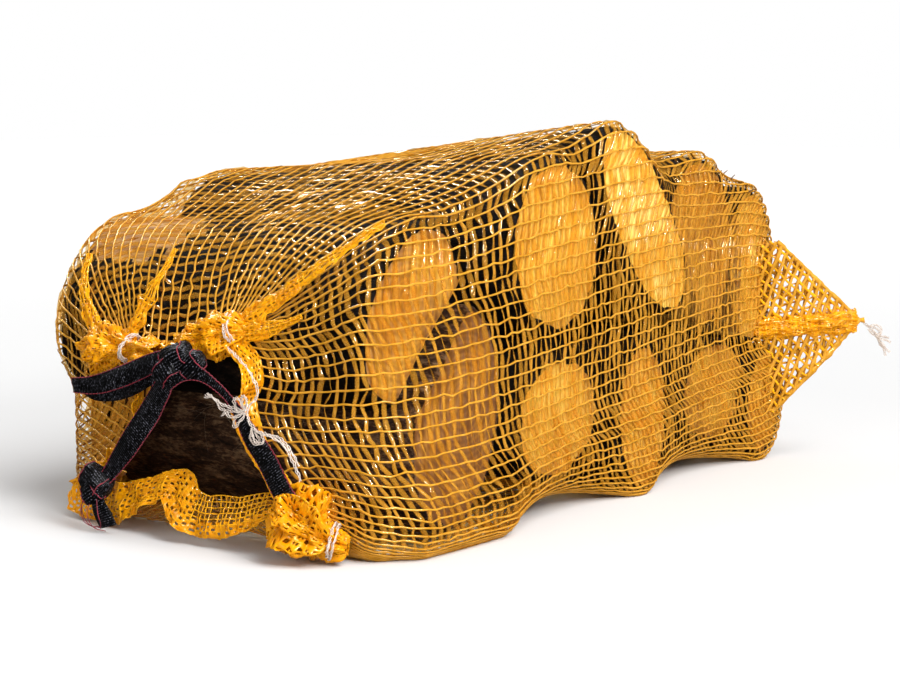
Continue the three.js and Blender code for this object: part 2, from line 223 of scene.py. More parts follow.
# %% The tree that sweeps a strand along a line
def strand_tree():
    """Sweeps a flat section along every polyline of a mesh."""
    tree = bpy.data.node_groups.new("strand_along_line", "GeometryNodeTree")
    face = tree.interface
    face.new_socket("Lines", in_out="INPUT", socket_type="NodeSocketGeometry")
    for name in ("Width", "Thickness"):
        face.new_socket(name, in_out="INPUT", socket_type="NodeSocketFloat")
    face.new_socket("Round", in_out="INPUT", socket_type="NodeSocketBool")
    face.new_socket("Material", in_out="INPUT", socket_type="NodeSocketMaterial")
    face.new_socket("Strands", in_out="OUTPUT", socket_type="NodeSocketGeometry")
    given = add(tree, "NodeGroupInput").outputs
    facing = add(tree, "GeometryNodeInputNamedAttribute", {"Name": "outward"}, data_type="FLOAT_VECTOR")
    spread = add(tree, "GeometryNodeInputNamedAttribute", {"Name": "spread"}, data_type="FLOAT")
    lines = add(tree, "GeometryNodeMeshToCurve", {"Mesh": given["Lines"]})
    turned = add(tree, "GeometryNodeSetCurveNormal",
                 {"Curve": lines.outputs["Curve"], "Normal": facing.outputs["Attribute"]}, mode="FREE")
    flat = add(tree, "GeometryNodeCurvePrimitiveQuadrilateral",
               {"Width": given["Thickness"], "Height": given["Width"]})
    half = add(tree, "ShaderNodeMath", {0: given["Width"], 1: 0.5}, operation="MULTIPLY")
    ring = add(tree, "GeometryNodeCurvePrimitiveCircle", {"Resolution": 7, "Radius": half.outputs[0]})
    section = add(tree, "GeometryNodeSwitch", {
        "Switch": given["Round"], "False": flat.outputs["Curve"], "True": ring.outputs["Curve"],
    }, input_type="GEOMETRY")
    swept = add(tree, "GeometryNodeCurveToMesh", {
        "Curve": turned.outputs["Curve"], "Profile Curve": section.outputs["Output"],
        "Scale": spread.outputs["Attribute"], "Fill Caps": True,
    })
    whole = add(tree, "GeometryNodeRealizeInstances", {"Geometry": swept.outputs["Mesh"]})
    painted = add(tree, "GeometryNodeSetMaterial",
                  {"Geometry": whole.outputs["Geometry"], "Material": given["Material"]})
    add(tree, "NodeGroupOutput", {"Strands": painted.outputs["Geometry"]})
    return tree


STRAND_TREE = strand_tree()


def swept_mesh(name, lines, facings, width, material, thickness=None, spreads=None, closed=False):
    """One mesh of strands along polylines in millimetres: flat if they have a thickness, or else round."""
    edges = []
    start = 0
    for line in lines:
        last = start + len(line) - 1
        edges += [(point, point + 1) for point in range(start, last)]
        if closed:
            edges.append((last, start))
        start = last + 1
    bare = bpy.data.meshes.new(name + "_lines")
    bare.from_pydata(in_frame(np.vstack(lines)).tolist(), edges, [])
    store(bare, "outward", np.vstack(facings))
    store(bare, "spread", np.concatenate(spreads or [np.ones(len(line)) for line in lines]))
    store(bare, "along", np.concatenate([walked_along(line) for line in lines]))
    holder = placed(name + "_lines", bare)
    sweep = holder.modifiers.new("sweep", "NODES")
    sweep.node_group = STRAND_TREE
    values = {"Width": width * MM, "Thickness": (thickness or width) * MM, "Round": thickness is None,
              "Material": material}
    for item in STRAND_TREE.interface.items_tree:
        if item.in_out == "INPUT" and item.name in values:
            sweep[item.identifier] = values[item.name]
    return as_modified(name, holder)


# %% [markdown]
# A given route has a few points where the real cord changes direction. A smooth curve through them,
# walked in even steps, gives the line that the strand follows. A flat ribbon also needs a facing: here it
# looks out of the mouth, turned square to its own line.

# %% Smooth lines through given points
CURVE_STEPS = 24


def walked_along(line):
    """How far along a polyline each of its points lies."""
    return np.concatenate([[0], np.cumsum(np.linalg.norm(np.diff(line, axis=0), axis=1))])


def at_places(places, keys, points):
    """Points at places between given points, which lie at keys on the same scale."""
    return np.stack([np.interp(places, keys, points[:, axis]) for axis in range(3)], 1)


def each_along(values, count):
    """A few values given along a line, as one value for each of its points."""
    return np.interp(np.linspace(0, 1, count), np.linspace(0, 1, len(values)), values)


def smooth_line(route, step):
    """Evenly spaced points on a smooth curve through the route."""
    points = np.asarray(route, float)
    padded = np.vstack([2 * points[0] - points[1], points, 2 * points[-1] - points[-2]])
    share = np.linspace(0, 1, CURVE_STEPS, endpoint=False)[:, None]
    dense = [
        0.5 * (2 * b + (c - a) * share + (2 * a - 5 * b + 4 * c - d) * share**2
               + (3 * b - a - 3 * c + d) * share**3)
        for a, b, c, d in zip(padded, padded[1:], padded[2:], padded[3:])
    ]
    dense = np.vstack([*dense, points[-1:]])
    walked = walked_along(dense)
    count = max(int(round(walked[-1] / step)), 2)
    return at_places(np.linspace(0, walked[-1], count + 1), walked, dense)


def line_length(line):
    """Length of a polyline in its own unit."""
    return float(np.linalg.norm(np.diff(line, axis=0), axis=1).sum())


def unit(vectors):
    """Vectors of length one."""
    return vectors / np.maximum(np.linalg.norm(vectors, axis=-1, keepdims=True), 1e-9)


def tangents(line, closed=False):
    """Directions along a polyline."""
    if closed:
        return unit(np.roll(line, -1, axis=0) - np.roll(line, 1, axis=0))
    return unit(np.gradient(line, axis=0))


def squared(facing, line, closed=False):
    """A facing turned square to the line at every point."""
    along = tangents(line, closed)
    facing = np.broadcast_to(np.asarray(facing, float), line.shape)
    return unit(facing - (facing * along).sum(1, keepdims=True) * along)


# %% [markdown]
# The ribbon leaves the hem at the foot of the mouth, climbs to the knot and hangs down again to its end
# knot. A shorter run leaves the knot to the side, where it is folded back as the loop of a bow. The ribs are
# real: every other step along the ribbon stands a little proud.

# %% Drawstring sizes and routes
RIBBON_WIDTH = 14
RIBBON_THICKNESS = 1.1
RIB_HEIGHT = 0.16
CUP_HEIGHT, CUP_RIBS = 0.6, 9
EDGE_THREAD = 0.6
EDGE_BESIDE = 0.1
EDGE_OVER = 0.25
STITCH_HEIGHT = 0.3
FRAYED_THREAD, FRAYED_STEP = 0.5, 0.8
OUT_OF_MOUTH = (-1, 0, 0)
DRAWSTRING_ROUTE = [
    (-237, -85, 30), (-240, -81, 36), (-242, -75, 46), (-243, -66, 59), (-244, -56, 72), (-244, -46, 83),
    (-243, -34, 92), (-243, -21, 98), (-246, -9, 99), (-248, 1, 94), (-247, 6, 88), (-246, 14, 79),
    (-247, 23, 67), (-248, 32, 55), (-249, 41, 45), (-249, 48, 37), (-249, 54, 30),
]
LOOP_ROUTE = [
    (-244, 6, 105), (-243, 16, 102), (-242, 30, 97), (-241, 46, 91), (-240, 62, 86), (-239, 76, 83),
    (-238, 88, 82), (-234, 94, 81), (-230, 90, 79),
]
LOOP_BACK_ROUTE = [
    (-230, 90, 79), (-231, 78, 77), (-232, 62, 79), (-234, 46, 84), (-236, 30, 91), (-237, 18, 97),
]
END_TAIL_ROUTE = [(-250, 58, 24), (-251, 56, 17), (-250, 53, 10), (-249, 51, 4)]
FRAYED_ROUTES = [
    [(-253, 62, 24), (-256, 66, 15), (-254, 66, 6), (-250, 60, 2)],
    [(-254, 58, 22), (-257, 60, 12), (-255, 57, 4), (-252, 50, 2)],
    [(-251, 66, 24), (-253, 69, 14), (-253, 64, 5), (-251, 55, 3)],
    [(-254, 55, 22), (-256, 52, 13), (-253, 53, 5), (-250, 61, 3)],
]
DRAWSTRING_WIDTHS = (0.95, 1, 1, 0.95, 0.6, 0.34, 0.4, 0.6, 0.8, 0.95, 1.05, 1.05, 1, 0.8, 0.55)
LOOP_WIDTHS = (0.7, 0.82, 0.85, 0.8, 0.66, 0.5)
LOOP_BACK_WIDTHS = (0.5, 0.66, 0.75, 0.6)
END_TAIL_WIDTHS = (0.6, 0.9, 1.1, 1.15)
END_TAIL_FACING = (-1, 0.2, 0.2)
KNOT_SIDES = 96
KNOT_LEVELS = 41
KNOT_TIP = 0.48 * math.pi
KNOT_PLUMP = 2.6
KNOT_RIMS = (0.24, 0.76)
KNOT_TURNS = [
    ((-243, -2, 105), (7.0, 12, 9.5), -28), ((-246, 3, 98), (6.0, 8, 9), 48),
    ((-242, -13, 103), (5.5, 9, 7), -40),
]
END_KNOT_TURNS = [((-249, 60, 30), (8.0, 11, 9), 35), ((-252, 60, 24), (5.5, 8, 7), -30)]
print("ribbon of", RIBBON_WIDTH, "mm with", len(KNOT_TURNS), "turns in its knot and",
      len(END_KNOT_TURNS), "in its end knot")


# %% Ribbons, edge threads and knots
def ribbon_mesh(name, route, widths, facing=OUT_OF_MOUTH):
    """A ribbed ribbon along a route, with its line, the way it faces and its half widths along it."""
    line = smooth_line(route, RIB_PITCH / 2)
    outward = squared(facing, line)
    step = np.arange(len(line))
    ribs = RIB_HEIGHT * (step % 2 - 0.5)
    spread = each_along(widths, len(line))
    line = line + outward * (CUP_HEIGHT * np.sin(step / CUP_RIBS))[:, None]
    mesh = swept_mesh(name, [line + outward * ribs[:, None]], [outward], RIBBON_WIDTH, RIBBON,
                      RIBBON_THICKNESS, [spread])
    return mesh, line, outward, spread * RIBBON_WIDTH / 2


def edge_threads(name, line, outward, half_width):
    """The red threads along both edges of a ribbon, one stitch in and out at every rib."""
    across = np.cross(tangents(line), outward)
    stitch = STITCH_HEIGHT * np.sin(np.arange(len(line)) * math.pi / 2)[:, None]
    lines = [line + across * side * (half_width[:, None] + EDGE_BESIDE) + outward * (stitch + EDGE_OVER)
             for side in (-1, 1)]
    return new_piece(name, swept_mesh(name, lines, [outward, outward], EDGE_THREAD, RED_THREAD))


def knot_turn(name, centre, half, tilt, seed):
    """One plump turn of a knot: a closed pillow of ribbed ribbon with a red thread near each rim."""
    around = np.linspace(0, 2 * math.pi, KNOT_SIDES, endpoint=False)[None, :]
    level = np.sin(np.linspace(-KNOT_TIP, KNOT_TIP, KNOT_LEVELS))[:, None]
    swell = (1 - np.abs(level) ** KNOT_PLUMP) ** (1 / KNOT_PLUMP)
    fold = 1 + 0.11 * np.sin(3 * around + 2.2 * level + seed) + 0.05 * np.sin(7 * around - 3 * level)
    out = swell * (fold + 0.02 * (np.arange(KNOT_SIDES) % 2)[None, :])
    local = np.stack([half[0] * out * np.cos(around), half[1] * level + 0 * out,
                      half[2] * out * np.sin(around)], 2)
    turn = np.array(Matrix.Rotation(math.radians(tilt), 3, "X"))
    points = local @ turn.T + np.asarray(centre, float)
    faces = []
    for step in range(KNOT_LEVELS - 1):
        for side in range(KNOT_SIDES):
            here, beside = step * KNOT_SIDES + side, step * KNOT_SIDES + (side + 1) % KNOT_SIDES
            faces.append((here, here + KNOT_SIDES, beside + KNOT_SIDES, beside))
    faces.append(tuple(range(KNOT_SIDES)))
    faces.append(tuple(range((KNOT_LEVELS - 1) * KNOT_SIDES, KNOT_LEVELS * KNOT_SIDES))[::-1])
    mesh = bpy.data.meshes.new(name)
    mesh.from_pydata(in_frame(points.reshape(-1, 3)).tolist(), [], faces)
    mesh.materials.append(RIBBON)
    store(mesh, "along", np.tile(around[0] * half[0], KNOT_LEVELS))
    mesh.shade_smooth()
    rims = [points[round(KNOT_LEVELS * share)] for share in KNOT_RIMS]
    outward = [squared(unit(rim - rim.mean(0)), rim, True) for rim in rims]
    rims = [rim + facing * EDGE_OVER for rim, facing in zip(rims, outward)]
    threads = swept_mesh(name + "_threads", rims, outward, EDGE_THREAD, RED_THREAD, closed=True)
    return [new_piece(name, mesh), new_piece(name + "_threads", threads)]


# %% Drawstring pieces
mesh, drawstring_line, drawstring_out, half = ribbon_mesh("drawstring", DRAWSTRING_ROUTE, DRAWSTRING_WIDTHS)
drawstring = new_piece("drawstring", mesh)
drawstring_edges = edge_threads("drawstring_edges", drawstring_line, drawstring_out, half)
knot, end_knot = [
    [piece for index, (centre, half, tilt) in enumerate(turns)
     for piece in knot_turn(f"{name}_turn_{index}", centre, half, tilt, index)]
    for name, turns in (("drawstring_knot", KNOT_TURNS), ("drawstring_end_knot", END_KNOT_TURNS))
]
mesh = ribbon_mesh("drawstring_cut_end", END_TAIL_ROUTE, END_TAIL_WIDTHS, END_TAIL_FACING)[0]
end_knot.append(new_piece("drawstring_cut_end", mesh))
frayed = [smooth_line(route, FRAYED_STEP) for route in FRAYED_ROUTES]
mesh = swept_mesh("frayed_threads", frayed, [squared(OUT_OF_MOUTH, line) for line in frayed],
                  FRAYED_THREAD, RED_THREAD)
end_knot.append(new_piece("drawstring_frayed_threads", mesh))
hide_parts("drawstring_span", "drawstring_tail")
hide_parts("drawstring_knot")
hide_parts("drawstring_end_knot")
mesh, loop_line, loop_out, half = ribbon_mesh("drawstring_bow", LOOP_ROUTE, LOOP_WIDTHS)
loop = new_piece("drawstring_bow", mesh)
loop_edges = edge_threads("drawstring_bow_edges", loop_line, loop_out, half)
mesh = ribbon_mesh("drawstring_bow_back", LOOP_BACK_ROUTE, LOOP_BACK_WIDTHS)[0]
loop_back = new_piece("drawstring_bow_back", mesh)
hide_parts("drawstring_loop")
print("drawstring", round(line_length(drawstring_line)), "mm, bow", round(line_length(loop_line)), "mm")


# %% [markdown]
# The white thread is what is left of the sewing: one length arches from the gathered hem to a small bow and
# trails on down the net, and a short tassel hangs from the sewn corner. Three plies twist loosely round each
# other, so each thread is swept as three thin lines on a helix.

# %% Sewing threads
PLY = 0.5
PLY_PHASES = (0, 2.1, 4.2)
LOOSENESS = 0.75
TWIST_PITCH = 9.0
THREAD_STEP = 0.9
MOUTH_THREAD_ROUTE = [
    (-238, -36, 114), (-241, -46, 110), (-243, -55, 105), (-244, -62, 98), (-244, -64, 91), (-246, -59, 84),
    (-247, -60, 77), (-247, -68, 71), (-246, -80, 70), (-245, -88, 64), (-243, -93, 55),
]
MOUTH_THREAD_BOWS = [
    [(-247, -58, 82), (-249, -55, 88), (-249, -51, 88), (-248, -52, 82), (-247, -57, 80)],
    [(-247, -58, 81), (-249, -54, 75), (-248, -50, 73), (-247, -50, 78), (-247, -56, 81)],
    [(-247, -58, 83), (-249, -60, 89), (-248, -56, 90), (-247, -55, 85), (-247, -58, 82)],
    [(-247, -58, 82), (-248, -50, 83), (-248, -42, 84), (-247, -33, 87), (-246, -26, 87)],
    [(-247, -57, 82), (-248, -48, 81), (-248, -40, 82), (-248, -36, 86), (-247, -29, 89)],
    [(-247, -57, 81), (-249, -50, 78), (-249, -44, 80), (-248, -41, 78)],
    [(-247, -62, 73), (-249, -66, 67), (-249, -72, 66), (-248, -71, 70), (-247, -64, 72)],
    [(-247, -62, 73), (-248, -62, 67), (-248, -67, 65), (-248, -69, 68), (-247, -64, 71)],
    [(-247, -64, 72), (-248, -74, 71), (-247, -84, 67), (-245, -90, 58), (-243, -94, 47)],
]
CORNER_THREAD_ROUTE = [
    (246, -168.5, 95), (252, -172, 91), (252, -177, 87), (256, -178, 83), (254, -183, 78), (258, -186, 73),
]
CORNER_THREAD_BOWS = [
    [(251, -171, 91), (255, -174, 90), (258, -178, 87), (256, -179, 83), (252, -176, 85), (250, -173, 89)],
    [(251, -172, 90), (252, -176, 92), (255, -180, 90), (256, -180, 86), (253, -177, 86), (251, -173, 88)],
    [(254, -178, 83), (255, -183, 82), (257, -187, 80)],
    [(254, -178, 84), (256, -182, 84), (256, -186, 83)],
    [(254, -179, 82), (254, -183, 76), (254, -185, 71)],
    [(254, -178, 83), (256, -180, 78), (257, -184, 75)],
]


def twisted(line, phase):
    """One ply of a thread: a loose helix round the thread's line."""
    side = squared((0.2, 0.3, 1), line)
    other = np.cross(tangents(line), side)
    step = line_length(line) / (len(line) - 1)
    angle = np.arange(len(line)) * step / TWIST_PITCH * 2 * math.pi + phase
    loose = LOOSENESS * (0.7 + 0.5 * np.sin(angle * 0.37 + 5 * phase))[:, None]
    return line + loose * (np.cos(angle)[:, None] * side + np.sin(angle)[:, None] * other)


def thread_piece(name, routes):
    """Twisted sewing thread along one or more routes."""
    lines = [twisted(smooth_line(route, THREAD_STEP), phase) for route in routes for phase in PLY_PHASES]
    facings = [squared((0, 0, 1), line) for line in lines]
    return new_piece(name, swept_mesh(name, lines, facings, PLY, WHITE_THREAD))


for name, node, route, bows in [
    ("mouth_sewing_thread", "mouth_thread", MOUTH_THREAD_ROUTE, MOUTH_THREAD_BOWS),
    ("corner_sewing_thread", "corner_thread", CORNER_THREAD_ROUTE, CORNER_THREAD_BOWS),
]:
    thread = thread_piece(name, [route])
    bow = thread_piece(name + "_ends", bows)
    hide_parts(node)


# %% [markdown]
# Firewood is sawn across and split along the grain. Each log keeps the oval or wedge of its section along
# its length, so a section formula and a few numbers describe it: the half axes, how the section leans, the
# split faces, and how far the back end is turned and raised. The net later asks the same formulas how far
# it is from the wood.

# %% Log sections
LOG_LENGTH = 250
PLAIN_LOG = dict(rise=0, yaw=0, splits=[], swell=0)
# Each log's tone is partly its own colour and partly painted shade: it darkens the sawn ends for the net's
# shadow on them, and darkens the mouth log's end most, as it lies in shade.
SHOWN_LOGS = {
    "mouth": dict(x=-147, z=72, long=70, short=46, lean=81, middle=-3, yaw=-4, splits=[(138, 36)],
                  tone=-0.28),
    "end_top": dict(x=-172, z=131, long=57, short=40, lean=58, middle=12, rise=-8, yaw=7, splits=[(-42, 22)],
                    tone=-0.08, peeled=((95, 44), (98, 36))),
    "top_a": dict(x=-55, z=162, long=54, short=47, lean=95, middle=-2, rise=-16, yaw=-26, tone=0.1),
    "top_b": dict(x=38, z=172, long=74, short=33, lean=127, middle=-3, rise=-34, tone=0.26),
    "top_c": dict(x=122, z=152, long=60, short=46, lean=92, middle=10, rise=-10, yaw=10, splits=[(215, 24)],
                  tone=-0.09),
    "top_d": dict(x=180, z=134, long=55, short=30, lean=92, middle=5, rise=-3, yaw=8, splits=[(185, 15)],
                  swell=0.12, tone=0.09),
    "low_a": dict(x=-51, z=60, long=44, short=40, lean=20, middle=-1, tone=0.05),
    "low_b": dict(x=36, z=50, long=50, short=31, lean=92, middle=-4, swell=-0.2, tone=0.01),
    "low_c": dict(x=139, z=54, long=42, short=38, lean=10, middle=8, tone=-0.03),
    "low_d": dict(x=194, z=40, long=40, short=27, lean=85, middle=1, swell=0.12, tone=-0.01),
}
LOGS = {name: PLAIN_LOG | log for name, log in SHOWN_LOGS.items()}
print("logs", ", ".join(LOGS))


def oval_distance(log, dx, dz):
    """Distance to the log's oval outline in its section, negative inside."""
    lean = math.radians(log["lean"])
    along = dx * math.cos(lean) + dz * math.sin(lean)
    across = dz * math.cos(lean) - dx * math.sin(lean)
    share = np.maximum(np.hypot(along / log["long"], across / log["short"]), 0.01)
    return np.hypot(dx, dz) * (1 - 1 / share)


def split_distance(log, dx, dz):
    """Distance to the nearest split face, or far inside where there is none."""
    faces = [dx * math.cos(math.radians(look)) + dz * math.sin(math.radians(look)) - reach
             for look, reach in log["splits"]]
    return np.max(faces, axis=0) if faces else np.full(np.shape(dx), -1e3)


def along_log(log, y):
    """How far along the log a place lies: 0 at the shown end, 1 at the far end."""
    return (y - log["middle"]) / LOG_LENGTH + 0.5


def thickening(log, y):
    """How much thicker the log is at a place than at its shown end."""
    return 1 + log["swell"] * along_log(log, y)


def section_centre(log, y):
    """Centre of the section at a place along the log; a log that thickens stays down on the floor."""
    share = along_log(log, y)
    return log["x"] + log["yaw"] * share, log["z"] * thickening(log, y) + log["rise"] * share


# %% [markdown]
# The wood shows three faces. Bark is dark and furrowed along the log; on the netted logs it is painted
# darker, as painted shade in the gaps between the logs. A split face is pale, fibrous and streaked along the
# grain. A sawn end is golden, with the saw's fine streaks, soft patches and a hint of rings. Each is its own
# material, read from a place stored on the log's points: x and z from the pith, y along the grain. A tone
# stored beside it makes one log paler than the next; it also holds painted shade, darker ends for the net's
# shadow, darkest at the mouth log, whose end lies in shade.

# %% Wood materials
def furrowed_bark(tree):
    """Dry furrowed bark: brown plates with nearly black furrows, fine fibres and no gloss; painted darker on
    the netted logs as shade.
    """
    place = add(tree, "ShaderNodeAttribute", attribute_name="from_pith").outputs["Vector"]
    stretched = add(tree, "ShaderNodeMapping", {"Vector": place, "Scale": (1.0, 0.3, 1.0)}).outputs["Vector"]
    plates = add(tree, "ShaderNodeTexNoise",
                 {"Vector": stretched, "Scale": 1 / 8.0, "Detail": 7.0, "Roughness": 0.66})
    fibre = add(tree, "ShaderNodeTexNoise",
                {"Vector": stretched, "Scale": 1 / 1.3, "Detail": 4.0, "Roughness": 0.7})
    both = add(tree, "ShaderNodeMix",
               {"Factor": 0.4, "A": plates.outputs["Fac"], "B": fibre.outputs["Fac"]}).outputs["Result"]
    # A value stored on the log: painted shade that darkens the netted logs' bark, and a paler tone for the
    # bark in the mouth.
    bare = add(tree, "ShaderNodeAttribute", attribute_name="bare").outputs["Fac"]
    shaded = add(tree, "ShaderNodeMath", {0: both, 1: bare}, operation="ADD")
    colour = add(tree, "ShaderNodeValToRGB", {"Fac": shaded.outputs[0]}, steps=[
        (0.36, "#080301"), (0.47, "#1a0f07"), (0.56, "#3e281a"), (0.68, "#85694c"),
    ])
    bump = add(tree, "ShaderNodeBump", {"Height": both, "Strength": 1.0, "Distance": 3.0 * MM})
    return add(tree, "ShaderNodeBsdfPrincipled", {
        "Base Color": colour.outputs["Color"], "Roughness": 0.92, "Specular IOR Level": 0.12,
        "Normal": bump.outputs["Normal"],
    })


def sawn_end(tree):
    """Sawn end grain: golden wood with saw streaks, soft patches and only a hint of rings."""
    place = add(tree, "ShaderNodeAttribute", attribute_name="from_pith").outputs["Vector"]
    # The stored tone is partly the log's own colour and partly painted shade on the end.
    tone = add(tree, "ShaderNodeAttribute", attribute_name="tone").outputs["Fac"]
    rings = add(tree, "ShaderNodeTexWave", {
        "Vector": place, "Scale": 0.09, "Distortion": 3.0, "Detail": 3.0, "Detail Scale": 0.05,
    }, wave_type="RINGS", rings_direction="Y")
    cut = add(tree, "ShaderNodeMapping", {"Vector": place, "Rotation": (0, 0.4, 0), "Scale": (0.9, 1, 0.05)})
    streak = add(tree, "ShaderNodeTexNoise", {
        "Vector": cut.outputs["Vector"], "Scale": 0.55, "Detail": 5.0, "Roughness": 0.7,
    }).outputs["Fac"]
    patch = add(tree, "ShaderNodeTexNoise", {"Vector": place, "Scale": 1 / 24.0, "Detail": 4.0})
    shade = tone
    for layer, weight in ((rings.outputs["Fac"], 0.07), (streak, 0.55), (patch.outputs["Fac"], 0.5)):
        shade = add(tree, "ShaderNodeMath", {0: layer, 1: weight, 2: shade},
                    operation="MULTIPLY_ADD").outputs[0]
    colour = add(tree, "ShaderNodeValToRGB", {"Fac": shade}, steps=[
        (0.24, "#7a4a07"), (0.42, "#b27912"), (0.56, "#d49c20"), (0.72, "#e8bc3c"), (0.92, "#fadf7c"),
    ])
    bump = add(tree, "ShaderNodeBump", {"Height": streak, "Strength": 0.5, "Distance": 0.7 * MM})
    return add(tree, "ShaderNodeBsdfPrincipled", {
        "Base Color": colour.outputs["Color"], "Roughness": 0.75, "Normal": bump.outputs["Normal"],
    })


def split_face(tree):
    """Split wood: torn along the grain, so pale streaks run the length of the log."""
    place = add(tree, "ShaderNodeAttribute", attribute_name="from_pith").outputs["Vector"]
    stretched = add(tree, "ShaderNodeMapping", {"Vector": place, "Scale": (1.0, 0.05, 1.0)})
    streak = add(tree, "ShaderNodeTexNoise", {
        "Vector": stretched.outputs["Vector"], "Scale": 1 / 4.0, "Detail": 6.0, "Roughness": 0.65,
    }).outputs["Fac"]
    colour = add(tree, "ShaderNodeValToRGB", {"Fac": streak}, steps=[
        (0.3, "#8a5616"), (0.48, "#bc8428"), (0.62, "#dcac4e"), (0.8, "#eecb7c"),
    ])
    bump = add(tree, "ShaderNodeBump", {"Height": streak, "Strength": 0.9, "Distance": 1.5 * MM})
    return add(tree, "ShaderNodeBsdfPrincipled", {
        "Base Color": colour.outputs["Color"], "Roughness": 0.8, "Normal": bump.outputs["Normal"],
    })


BARK = new_material("dry_furrowed_bark", furrowed_bark)
SAWN = new_material("sawn_end_grain", sawn_end)
SPLIT = new_material("split_wood", split_face)
print("wood", BARK.name, SAWN.name, SPLIT.name)


# %% [markdown]
# A log is lofted ring by ring from one sawn end to the other. Where a ring's point lies on bark it is moved
# in and out by a noise that is long along the grain, so that plates and furrows are real relief. No section
# is a clean oval: its outline wanders. The end is a fan of smaller rings. Its outermost band is the cut edge
# of the bark, and the next few are darker than the wood inside.

# %% Logs
LOG_SIDES = 112
LOG_STEPS = 60
END_RINGS = 9
CREEPS, CREEP = 60, 0.6
BARK_THICKNESS = 1.7
SPLIT_EDGE = 1.0
BARK_RELIEF = 1.5
BARK_INSET = 1.2
BARK_GRAIN = 7.5
SPLIT_RELIEF = 0.35
RELIEF_MOST = 0.6
SAW_ROUND = 2.7
SAW_BEVEL = 6
SAW_DISH = 0.5
SHARP_FROM = 50
UNEVEN_ROUND = 3.0
# How much darker the first rings inside the bark are on each sawn end.
RIM_DARKENING = (-0.13, -0.06, -0.02)
PITH_OFF = 0.25
GRAIN_APART = 40
MOUTH_INSET = 3.5
PALE_SPLITS = ("log_top_c", "log_top_d")
# The netted logs' bark is painted darker: painted shade for the deep gaps between the logs. The bark in the
# mouth is a little paler.
BARE_BARK, NETTED_BARK_SHADE = 0.06, -0.11
ON_BARK, ON_SAWN, ON_SPLIT = 0, 1, 2


def section_outline(log, angles):
    """Radius of the section in each direction, and whether a split face bounds it there."""
    reach = np.full(len(angles), float(log["long"]))
    dx, dz = np.cos(angles), np.sin(angles)
    for _ in range(CREEPS):
        reach -= CREEP * np.maximum(oval_distance(log, reach * dx, reach * dz),
                                    split_distance(log, reach * dx, reach * dz))
    on_split = split_distance(log, reach * dx, reach * dz) > oval_distance(log, reach * dx, reach * dz)
    return reach, on_split


def bark_relief(seed, angle, y, girth):
    """Height of the bark's plates at one place, from 1 on a ridge to -1 in a furrow."""
    around = Vector((math.cos(angle) * girth, y * 0.2, math.sin(angle) * girth)) / BARK_GRAIN
    return noise.fractal(around + Vector((seed * 7.1, 0, 0)), 0.7, 2.0, 4)


def bark_is_off(log, angle, y):
    """Whether the bark has come off at a place: inside a rough oval, given along the log and round it."""
    if "peeled" not in log:
        return False
    (along, half_along), (look, half_look) = log["peeled"]
    ragged = noise.noise(Vector((angle * 5, y / 9, 2.0)))
    off = ((y - along) / half_along) ** 2 + ((math.degrees(angle) - look) / half_look) ** 2
    return off < 1 + 0.8 * ragged


